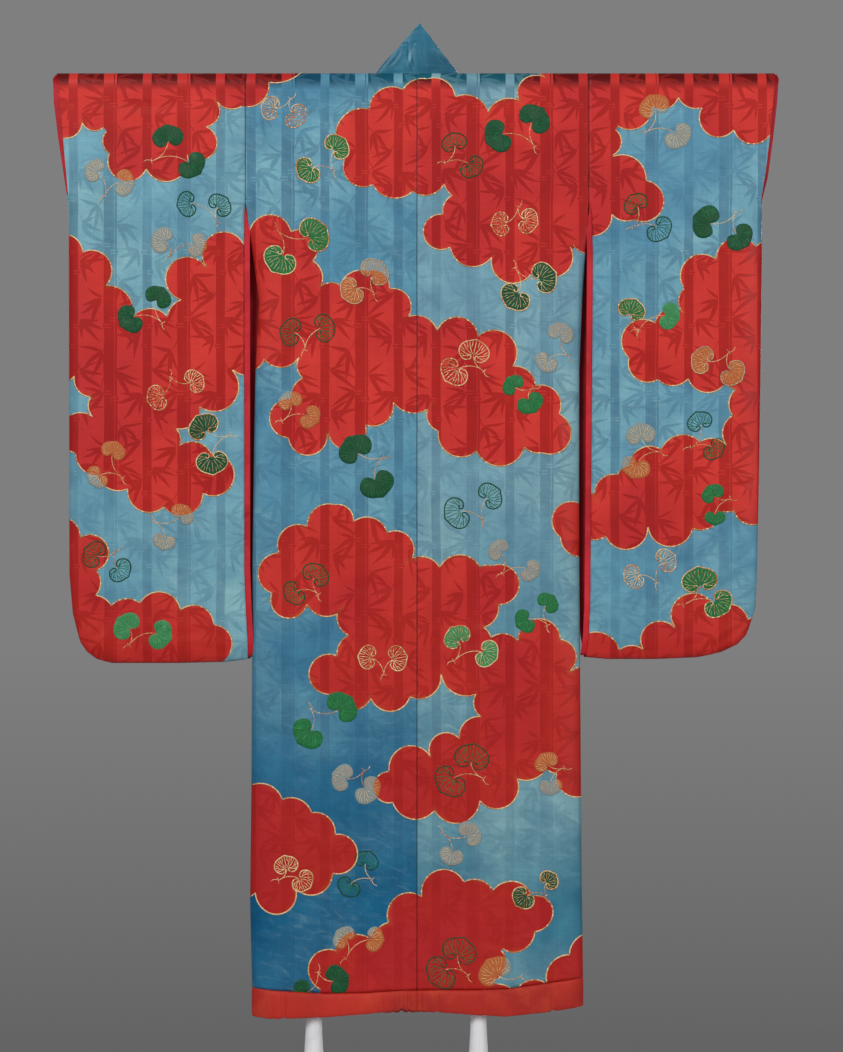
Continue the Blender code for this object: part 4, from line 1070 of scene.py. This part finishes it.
damasks = {
    "body_left": damask("Bamboo damask of the left body", "#62A1BB", "#0A6A92", "#86BECB", 0.15),
    "body_right": damask("Bamboo damask of the right body", "#84B4C2", "#478CA2", "#9AC6CA", 0.8),
    "sleeve_left": damask("Bamboo damask of the left sleeve", "#80B8C8", "#66A6BE", "#98CACF", 0.8),
    "sleeve_right": damask("Bamboo damask of the right sleeve", "#6EAAC2", "#6CA8B8", "#8CC2CC", 0.8),
}


# ---- Couched gold and embroidered leaves
# Gold-wrapped threads are laid along the clouds' edges and stitched down. Pairs of kidney
# leaves are embroidered in satin stitch of green silk, in fine gold, or in outline alone,
# each pair on gold stems with a small cross at their root.
LINE_STEP, LINE_WIDE, LINE_TALL = 0.0035, 0.0027, 0.0009
RIM_WIDE, STEM_WIDE, RIM_TALL = 0.0024, 0.0014, 0.0007
VEIN_WIDE, THIN_VEIN, VEIN_TALL = 0.0015, 0.0010, 0.0005
GOLD_TWIST, THREAD_SHIFT, STITCH_SPAN = 0.0016, 0.137, (0.38, 0.62)
RING_STEP, NEAR, NOTCH_TURN = 0.0004, 0.0012, 0.85
PAD_TALL, ON_PAD, SUNK = 0.0006, 0.00055, 0.0003
TURNED_FROM, TURNED_BY = 0.12, 0.06
LEAF_SPOKES = 40
PAD_RINGS = np.array([0.10, 0.50, 0.80, 0.93, 1.0, 1.0])
VEIN_SPOKES = (6, 10, 14, 17, 20, 23, 26, 30, 34)
GOLD, WORN_GOLD, FINE_GOLD, DARK_GREEN, MID_GREEN, LIGHT_GREEN = range(6)
# Leaf kinds: materials of the filling, of the rim with its curls, and of the veins
LEAF_KINDS = {
    "dark": (DARK_GREEN, None, MID_GREEN),
    "dark_gold": (DARK_GREEN, GOLD, GOLD),
    "mid": (MID_GREEN, None, LIGHT_GREEN),
    "mid_gold": (MID_GREEN, GOLD, GOLD),
    "light": (LIGHT_GREEN, None, MID_GREEN),
    "light_gold": (LIGHT_GREEN, GOLD, GOLD),
    "fine": (FINE_GOLD, None, GOLD),
    "fine_gold": (FINE_GOLD, WORN_GOLD, GOLD),
    "gold_line": (None, GOLD, GOLD),
    "green_line": (None, DARK_GREEN, MID_GREEN),
}
# Leaf pairs on the back, in millimetres: kind, then across, fall and radius of each leaf,
# then across and fall of the stem's root
LEAF_PAIRS = {
    "sleeve_left": """
        dark -436,114,24 -394,163,23 -464,156
        fine -564,172,19 -513,194,21 -546,217
        green_line -402,231,19 -345,233,19 -348,264
        fine -446,294,21 -385,303,19 -432,322
        dark -453,394,21 -502,432,23 -446,439
        gold_line -455,570,19 -390,541,18 -432,534
        dark_gold -374,621,24 -359,682,24 -327,635
        fine -532,663,19 -560,709,19 -516,710
        fine -411,774,19 -443,821,18 -462,786
        green_line -565,844,21 -520,872,19 -528,838
        light -509,970,23 -450,985,23 -504,1003
    """,
    "body_left": """
        gold_line -256,63,18 -212,77,19 -222,47
        mid_gold -140,131,21 -191,172,21 -145,173
        mid_gold -180,285,27 -240,329,26 -245,276
        fine_gold -74,350,23 -114,383,21 -74,388
        green_line -220,455,21 -163,448,21 -196,486
        fine -222,576,19 -187,604,19 -236,611
        dark -108,660,27 -70,721,27 -58,674
        green_line -177,880,21 -215,912,19 -173,914
        gold_line -86,1024,18 -35,1026,19 -58,1054
        mid -131,1111,26 -191,1158,26 -186,1115
        fine -130,1234,21 -86,1256,23 -93,1222
        gold_line -229,1386,18 -200,1412,18 -242,1412
        green_line -88,1377,18 -119,1421,18 -79,1409
        fine -128,1508,19 -75,1512,19 -124,1544
        dark -140,1580,23 -198,1605,21 -173,1568
    """,
    "body_right": """
        green_line 65,124,19 96,166,19 49,159
        dark 142,112,26 206,82,26 206,130
        gold_line 147,266,18 194,261,19 177,236
        dark_gold 172,394,24 222,360,24 172,343
        fine 252,457,21 226,508,19 266,497
        gold_line 100,490,23 65,525,23 117,523
        mid 168,548,18 198,579,21 203,553
        green_line 70,772,24 128,742,21 116,786
        fine 142,836,18 198,873,18 150,878
        mid 229,929,18 189,961,19 228,968
        light_gold 70,989,21 122,1018,21 65,1031
        green_line 96,1200,26 58,1241,26 116,1236
        fine 226,1208,19 234,1251,18 257,1218
        fine 93,1332,21 60,1370,19 44,1330
        dark_gold 231,1419,16 186,1447,19 226,1446
        green_line 74,1536,26 42,1573,26 89,1577
        fine 136,1572,27 - 182,1584
    """,
    "sleeve_right": """
        fine 415,61,24 457,112,23 401,105
        green_line 383,231,19 424,275,21 378,273
        dark 506,262,26 565,289,23 558,247
        mid_gold 376,416,21 - 388,453
        light 441,427,21 - 388,453
        fine_gold 500,504,21 553,527,21 546,490
        green_line 495,612,19 520,660,18 480,658
        fine 392,635,23 383,691,23 427,665
        mid 518,738,18 522,780,16 548,747
        gold_line 436,858,19 380,887,19 420,898
        mid_gold 495,896,27 528,940,24 467,940
    """,
}


def on_cloth(panel, flat):
    """Points on a panel's outer side from across and fall places."""
    part, side = panel.split("_")
    own, fall = np.abs(flat[:, 0]), flat[:, 1]
    if part == "body":
        return body_cloth(side, own, fall)
    if part == "overlap":
        return overlap_cloth(side, SIGN[side] * flat[:, 0], fall)
    return sleeve_cloth(side, own, fall, sleeve_edges(side, fall)[1])


def cloth_frame(panel, flat):
    """Points on a panel and the outward directions there, from points close by."""
    ahead, below = (
        on_cloth(panel, flat + np.array(way)) - on_cloth(panel, flat - np.array(way))
        for way in ((NEAR, 0.0), (0.0, NEAR))
    )
    normal = np.cross(below, ahead)
    normal[:, 0] *= 0.4
    normal /= np.linalg.norm(normal, axis=1)[:, None]
    return on_cloth(panel, flat), normal


def within(panel, flat, margin):
    """Which places lie on a panel, inside its edges by a margin."""
    part, side = panel.split("_")
    own, fall = SIGN[side] * flat[:, 0], flat[:, 1]
    height = SHOULDER_Z - np.abs(fall)
    below = np.full(len(fall), True)
    foot = HEM_TOP
    if part == "body":
        inner, outer = np.where(fall < 0.0, inner_edge(fall), HALF_GAP), read(BODY_SIDE, side, height)
    elif part == "overlap":
        inner, outer = overlap_free(height), OVERLAP_SEAM
        below = fall < OVERLAP_TOP - SHOULDER_Z - margin
    else:
        inner, outer = sleeve_edges(side, fall)
        foot = SLEEVE_FOOT + 0.012
    return below & (own > inner + margin) & (own < outer - margin) & (height > foot + margin)


def stretches(flags):
    """Start and end of each run of true flags."""
    cuts = np.flatnonzero(np.diff(np.concatenate([[False], flags, [False]]).astype(int)))
    return zip(cuts[::2], cuts[1::2])


def cloud_lines(panel, clouds):
    """Runs of places along the clouds' lobes where no other lobe covers them."""
    for *middle, radius in np.concatenate(clouds):
        count = int(2.0 * math.pi * radius / RING_STEP)
        angle = np.linspace(0.0, 2.0 * math.pi, count, endpoint=False)
        ring = np.array(middle) + radius * np.stack([np.cos(angle), np.sin(angle)], axis=1)
        free = within(panel, ring, 0.0006)
        if not free.any():
            continue
        free[free] = np.max([cloud_depth(ring[free], other) for other in clouds], axis=0) < 1e-5
        start = int(np.argmin(free))
        free, ring = np.roll(free, -start), np.roll(ring, -start, axis=0)
        for first, last in stretches(free):
            run = ring[first:last]
            length = lengths(np.stack([run[:, 0], cloth_length(run[:, 1])], axis=1))
            if length[-1] > 2.0 * LINE_STEP:
                marks = np.linspace(0.0, length[-1], int(length[-1] / LINE_STEP) + 1)
                yield run[np.searchsorted(length, marks - 1e-9)]


def square(way):
    """A way turned by a right angle."""
    return np.array([-way[1], way[0]])


def unit(way):
    return way / np.linalg.norm(way)


def leaf_outline(radius):
    """A kidney leaf round its middle, notch towards +X: radius times a notch
    1 - 0.68 e^(-(angle / 0.32) squared), with a small tip opposite, then 0.86 as long
    along the notch's way and 1.16 as wide across it."""
    angle = np.linspace(0.0, 2.0 * math.pi, LEAF_SPOKES, endpoint=False)
    turned = np.minimum(angle, 2.0 * math.pi - angle)
    reach = radius * (1.0 - 0.68 * np.exp(-((turned / 0.32) ** 2)))
    reach *= 1.0 + 0.13 * np.exp(-(((math.pi - turned) / 0.18) ** 2))
    return np.stack([0.86 * reach * np.cos(angle), 1.16 * reach * np.sin(angle)], axis=1)


def rim_curl(radius, side):
    """The rim's end on one side of the notch: a spiral of 0.8 of a turn round (0.42, 0.33)
    radii, from 0.22 in to 0.07 of the radius."""
    turned = np.linspace(0.0, 1.6 * math.pi, 10)
    reach = radius * (0.22 - 0.15 * turned / turned[-1])
    spiral = np.stack([np.cos(turned), -side * np.sin(turned)], axis=1) * reach[:, None]
    return np.array([0.42, 0.33 * side]) * radius + spiral


def bow(start, end, bowed, count):
    """A shallow arc from start to end, bowed aside by a share of its length."""
    t = np.linspace(0.0, 1.0, count)[:, None]
    way = end - start
    return start + way * t + square(way) * bowed * 4.0 * t * (1.0 - t)


def leaf_parts(kind, middle, way, radius):
    """Strips and pads of one leaf, with its notch towards way. Veins run from the notch to
    the edge and fork on their way, and a rim ends in a curl on each side of the notch."""
    fill, line, vein = LEAF_KINDS[kind]
    turn = np.array([way, square(way)])
    rim = leaf_outline(radius)
    sinus = np.array([0.22 * radius, 0.0])
    strips, pads = [], []
    if fill is not None:
        pads.append((middle + rim @ turn, middle, rim, sinus, fill))
    lift, wide = (0.0, VEIN_WIDE) if fill is None else (ON_PAD, THIN_VEIN)
    # Where the rim curls in beside the notch, the outer veins start beyond the curls
    clear = 0.16 if line is None else 0.45
    half = LEAF_SPOKES // 2
    for k in VEIN_SPOKES:
        spread = (half - k) / 14
        start = sinus + np.array([0.12 * abs(spread), clear * spread * abs(spread)]) * radius
        edge = rim[k] * 0.95
        fork = start + (edge - start) * 0.55
        side = (k < half) - (k > half)
        strips.append((middle + bow(start, edge, -0.07 * side, 5) @ turn, wide, VEIN_TALL, lift, vein))
        if side:
            other = (rim[k + side] + rim[k + 2 * side]) * 0.47
            strips.append((middle + bow(fork, other, 0.07 * side, 4) @ turn, wide, VEIN_TALL, lift, vein))
    if line is not None:
        path = np.concatenate([rim_curl(radius, 1.0)[::-1], rim[2:-1], rim_curl(radius, -1.0)])
        strips.append((middle + path @ turn, RIM_WIDE, RIM_TALL, lift, line))
    return strips, pads


def leaf_pair(kind, first, second, root):
    """Two leaves on a bowed stem each, with a short tail and a cross at the root. Their
    notches turn from the root towards each other."""
    strips, pads, tails = [], [], []
    for leaf, other in ((first, second), (second, first)):
        if leaf is None:
            continue
        middle, radius = leaf[:2], leaf[2]
        way = unit(root - middle)
        tails.append(way)
        side = 1.0 if other is None or (other[:2] - middle) @ square(way) > 0.0 else -1.0
        facing = unit(way + side * NOTCH_TURN * square(way))
        got = leaf_parts(kind, middle, facing, radius)
        stalk = bow(middle + facing * 0.30 * radius, root, 0.15 * side, 9)
        strips += [*got[0], (stalk, STEM_WIDE, RIM_TALL, 0.0, GOLD)]
        pads += got[1]
    tail = unit(sum(tails))
    aside = square(tail)
    for path in (
        bow(root, root + tail * 0.014 + aside * 0.005, 0.2, 5),
        bow(root - aside * 0.0055 + tail * 0.002, root + aside * 0.0055 - tail * 0.001, 0.0, 3),
    ):
        strips.append((path, STEM_WIDE, RIM_TALL, 0.0, GOLD))
    return strips, pads


def needlework(name, panel, strips, pads):
    """Strips as low ridges of four sides along their paths, and pads as closed low domes,
    all in one mesh on a panel's surface."""
    places = [strip[0] for strip in strips]
    for rim, middle, *_ in pads:
        places += [middle + (rim - middle) * share for share in PAD_RINGS]
    flat = np.concatenate(places)
    field = field_of(panel)
    if field == "body":
        flat[:, 1] = np.minimum(flat[:, 1], SHOULDER_Z - HEM_TOP - 0.0005)
    base, normal = cloth_frame(panel, flat)
    start, worked = 0, []
    for number, (path, wide, tall, lift, silk) in enumerate(strips):
        count = len(path)
        here, out = base[start : start + count], normal[start : start + count]
        start += count
        aside = np.cross(np.gradient(here, axis=0), out)
        sides = aside / np.linalg.norm(aside, axis=1)[:, None] * wide / 2
        thin = np.ones((count, 1))
        thin[[0, -1]] = 0.45
        offsets = [out * lift + sides, out * (lift + tall), out * lift - sides, -out * SUNK]
        length = np.repeat(lengths(path) + number * THREAD_SHIFT, 4)
        spread = np.stack([length, np.tile([0.0, 1.0, 2.0, 3.0], count)], axis=1)
        worked.append((np.stack([here + offset * thin for offset in offsets], axis=1), spread, silk))
    lift = SUNK * 0.5 + PAD_TALL * np.sqrt(1.0 - PAD_RINGS**6)
    lift[-1] = -SUNK
    for rim, _, local, sinus, silk in pads:
        shape, stop = (len(PAD_RINGS), len(rim), 3), start + len(PAD_RINGS) * len(rim)
        here, out = base[start:stop].reshape(shape), normal[start:stop].reshape(shape)
        start = stop
        spread = local * PAD_RINGS[:, None, None] - sinus
        worked.append((here + out * lift[:, None, None], spread.reshape(-1, 2), silk))
    faces, slots, used = [], [], 0
    for rings, _, silk in worked:
        index = used + np.arange(rings.shape[0] * rings.shape[1]).reshape(rings.shape[:2])
        used += index.size
        faces += [*tube(index).tolist(), index[0].tolist(), index[-1][::-1].tolist()]
        slots += [silk] * (len(faces) - len(slots))
    points = np.concatenate([rings.reshape(-1, 3) for rings, *_ in worked])
    spread = np.concatenate([piece[1] for piece in worked])
    fall = (SHOULDER_Z - points[:, 2]) * np.where(points[:, 1] > 0.0, -1.0, 1.0)
    clouds = cloud_field(field, points[:, 0], fall)
    made = mesh_object(name, points, faces, needle_silks, spread, clouds, "Thread")
    made.data.polygons.foreach_set("material_index", np.array(slots, np.int32))
    face_outwards(made.data)
    return sew(made, "silk_damask")


def gold_thread(name, roughness, tones):
    """Gold thread: long dull and bright stretches, short glints along it that are painted highlights, and
    ridges across it. Threads are drawn twice as thick as real ones."""
    made, node, shader = material(name, Roughness=roughness, Specular_IOR_Level=0.6)
    thread = node("UVMap", uv_map="Thread")
    slow = node("TexNoise", Vector=node("TexCoord", out="Object"), Scale=26.0, Detail=2.0)
    painted_glint = node("Mapping", Vector=thread, Scale=(1.0, 0.0, 0.0))
    painted_glint = node("TexNoise", Vector=painted_glint, Scale=190.0, Detail=1.0)
    # The third tone is a painted highlight: short glints along the thread
    tone = layered(node, colour(tones[0]), (slow, (0.40, 0.58), tones[1]), (painted_glint, (0.50, 0.66), tones[2]))
    ridge = node("Math SINE", node("Math MULTIPLY", node("SeparateXYZ", thread), 2.0 * math.pi / GOLD_TWIST))
    finish(
        shader,
        Base_Color=tone,
        Normal=node("Bump", Height=ridge, Strength=0.25, Distance=0.0002),
    )
    return made


def satin_stitch(name, tones, laid=None):
    """Satin stitch in light and dark threads. They fan out from a leaf's notch, about 0.8
    mm apart halfway out, or are laid side by side, laid in metres apart, where they let
    the ground show. Then the third tone is theirs on red."""
    made, node, shader = material(name, Sheen_Weight=0.05, Specular_IOR_Level=0.28)
    across, along, _ = node("SeparateXYZ", node("UVMap", uv_map="Thread"), out=None)
    angle = node("Math ARCTAN2", along, across)
    turn = node("Math MULTIPLY", angle, 52.0)
    if laid:
        turn = node("Math MULTIPLY", node("Math MULTIPLY_ADD", across, 0.7, along), 2.0 * math.pi / laid)
    ridge = node("Math SINE", turn)
    ray = node("CombineXYZ", angle, node("Math MULTIPLY", ridge, 0.02))
    fine = node("TexNoise", Vector=ray, Scale=16.0, Detail=3.0, Roughness=0.7)
    share = node("Math MULTIPLY_ADD", ridge, 0.16, fine)
    tone = layered(node, colour(tones[0]), (share, STITCH_SPAN, tones[1]))
    if laid:
        cloud = node("Attribute", attribute_name="cloud", out="Fac")
        on_red = layered(node, colour("#B5512E"), (share, STITCH_SPAN, tones[2]))
        tone = node("MixRGB", node("MapRange", cloud, -0.0004, 0.0004), tone, on_red)
    else:
        spot = node("TexNoise", Vector=node("TexCoord", out="Object"), Scale=120.0, Detail=2.0)
        tone = layered(node, tone, (spot, (0.52, 0.72, 0.0, 0.6), tones[2]))
    finish(shader, Base_Color=tone, Normal=node("Bump", Height=ridge, Strength=0.35, Distance=0.0003))
    return made


needle_silks = [
    gold_thread("Gold wrapped thread", 0.36, ("#C47A3A", "#EAC288", "#FCE8C0")),
    gold_thread("Worn gold thread", 0.45, ("#A98B6C", "#C9A67C", "#DDBE94")),
    satin_stitch("Fine gold stitch", ("#5F91A4", "#A8926F", "#B87030"), laid=0.0036),
    satin_stitch("Dark green silk stitch", ("#04361C", "#0A5530", "#14693C")),
    satin_stitch("Mid green silk stitch", ("#0E5A2C", "#187A3C", "#2A8E4C")),
    satin_stitch("Light green silk stitch", ("#2F7C48", "#45965A", "#5CA56C")),
]


def read_pairs(text):
    """Rows of a leaf table: kind, two leaves and the stem's root, in metres."""
    for row in text.strip().splitlines():
        kind, *places = row.split()
        yield kind, [None if place == "-" else np.array(place.split(","), float) / 1000.0 for place in places]


def turned_over(place):
    """A place on the back moved over the shoulder to the front."""
    return None if place is None else np.array([place[0], TURNED_BY - place[1], *place[2:]])


def beside(run, pads):
    """The parts of a gold line that no filled leaf lies over."""
    hidden = np.zeros(len(run), bool)
    for rim, middle, *_ in pads:
        if np.hypot(*(run - middle).T).min() < np.hypot(*(rim - middle).T).max():
            hidden |= cloud_depth(run, np.column_stack([rim, np.zeros(len(rim))])) > 0.0
    return [run[start:stop] for start, stop in stretches(~hidden) if stop - start > 2]


def embroidery(panel):
    """All gold lines and leaves of one panel. The fronts get every other pair of the
    back's, turned over the shoulder, where it lies whole on the panel."""
    strips, pads = [], []
    for number, (kind, places) in enumerate(read_pairs(LEAF_PAIRS.get(panel, ""))):
        pairs = [leaf_pair(kind, *places)]
        if number % 2 == 0 and places[2][1] >= TURNED_FROM:
            front = leaf_pair(kind, *map(turned_over, places))
            if all(within(panel, piece[0], 0.004).all() for piece in [*front[0], *front[1]]):
                pairs.append(front)
        for pair in pairs:
            strips += pair[0]
            pads += pair[1]
    for run in cloud_lines(panel, field_clouds(field_of(panel))):
        strips += [(piece, LINE_WIDE, LINE_TALL, 0.0, GOLD) for piece in beside(run, pads)]
    return needlework(f"embroidery_{panel}", panel, strips, pads)


# ---- Plain silks
# The collar is plain blue silk with its own fine ribs, folded and pressed. The linings are
# thin plain-woven red silk. The hem's padded roll is covered in orange-red silk, which is
# rubbed darker along its foot and puckers where it is stitched down.
def plain_silk(name, tones, soil, ribs, rib_depth, shine, sheen_streak=None):
    """Plain woven silk: three tones in a soft mottle, a soil colour low on the roll, and
    ribs as noise drawn out along one of the object's ways. Real ribs are about 0.4 mm
    apart, and these are drawn about 1.5 mm apart so that they show. A sheen streak is a
    pale painted highlight where a pressed fold catches the light: its middle, its turn
    about Y and its half lengths."""
    made, node, shader = material(
        name, Sheen_Weight=0.06, Sheen_Roughness=0.4, Sheen_Tint=colour(tones[2]), Specular_IOR_Level=0.28
    )
    spot = node("TexCoord", out="Object")
    mottle = node("TexNoise", Vector=spot, Scale=24.0, Detail=5.0, Roughness=0.6)
    patch = node("TexNoise", Vector=spot, Scale=7.0, Detail=2.0)
    rib = node("TexNoise", Vector=node("Mapping", Vector=spot, Scale=ribs), Scale=1.0, Detail=3.0)
    tone = layered(
        node,
        colour(tones[0]),
        (patch, (0.38, 0.62), tones[1]),
        (mottle, (0.52, 0.72, 0.0, 0.55), tones[2]),
        (rib, (0.32, 0.50, 0.35, 0.0), tones[0]),
    )
    # Painted highlight: a pale streak where the collar's pressed fold catches the light
    if sheen_streak:
        off = node("VectorMath LENGTH", node("Mapping", spot, *sheen_streak, vector_type="TEXTURE"), out="Value")
        tone = layered(node, tone, (off, (1.0, 0.3, 0.0, 0.5), "#93BFCE"))
    low = node("MapRange", node("SeparateXYZ", spot, out=2), 0.196, 0.180)
    dull = node("Math MULTIPLY", low, node("MapRange", mottle, 0.36, 0.60))
    finish(
        shader,
        Base_Color=node("MixRGB", dull, tone, colour(soil)),
        Roughness=node("MapRange", mottle, 0.3, 0.7, shine, shine + 0.12),
        Normal=node("Bump", Height=rib, Strength=rib_depth, Distance=0.0005),
    )
    return made


# Where the collar's pressed fold catches the light, painted as a pale highlight streak
COLLAR_SHEEN_STREAK = ((-0.012, 0.0, 1.880), (0.0, 0.27, 0.0), (0.0042, 1.0, 0.0200))
collar_silk = plain_silk(
    "Ribbed blue silk of the collar", ("#1A5870", "#266E88", "#4A8AA2"), "#1A5870",
    ribs=(40.0, 40.0, 520.0), rib_depth=0.30, shine=0.36, sheen_streak=COLLAR_SHEEN_STREAK,
)
lining_silk = plain_silk(
    "Plain red silk lining", ("#B0121E", "#CE2430", "#D93A42"), "#A8141E",
    ribs=(60.0, 60.0, 640.0), rib_depth=0.15, shine=0.50,
)
hem_silk = plain_silk(
    "Orange-red silk of the padded hem", ("#A8221A", "#C22E20", "#CA4428"), "#98401F",
    ribs=(620.0, 620.0, 45.0), rib_depth=0.40, shine=0.55,
)


# ---- Sewing it together
# Every piece of silk in its place on the rod or on the piece that it is sewn to, with the
# embroidery of the panel that it was worked on.
HEM_PIECES = (
    ("hem_back", "back", HALF_GAP, None),
    ("hem_front", "front", OVERLAP_SEAM + HALF_GAP, None),
    ("hem_overlap", "front", OVERLAP_EDGE, OVERLAP_SEAM - HALF_GAP),
)
# The cuff's lining starts a little way over the rod, at this angle
CUFF_LINING_FROM = 0.12
for side in ("left", "right"):
    body = body_piece(side)
    gold = embroidery(f"body_{side}")
    overlap = overlap_piece(side)
    gold = embroidery(f"overlap_{side}")
    sleeve = sleeve_piece(side)
    gold = embroidery(f"sleeve_{side}")
    fall = np.linspace(LINING_TOP, LINING_FOOT, 150) - SHOULDER_Z
    free = sleeve_edges(side, fall)[0]
    lining_piece("lining_opening", side, fall, free, LINING_WIDTH, (0.040, 0.73), f"lining_opening_{side}")
    fall = SHOULDER_Z - np.linspace(FOLD_TOP, FOLD_FOOT, 160)
    free = sleeve_edges(side, fall)[0] - FOLD_SHOWN * smooth((fall - SHOULDER_Z + FOLD_TOP) / 0.05)
    lining_piece("lining_fold", side, fall, free, FOLD_WIDTH, (0.034, 0.81))
    arc = OUT_R * (1.0 - np.cos(np.linspace(CUFF_LINING_FROM, math.pi / 2, 9)))
    fall = -np.concatenate([arc, np.linspace(OUT_R, SHOULDER_Z - CUFF_END[side], 50)[1:]])
    free = sleeve_edges(side, fall)[1]
    lining_piece("lining_cuff", side, fall, free, -CUFF_LINING_WIDTH, (0.036, 0.22), f"lining_cuff_{side}")
    for name, face, start, end in HEM_PIECES:
        hem_piece(name, side, face, start, end)
collar_piece()
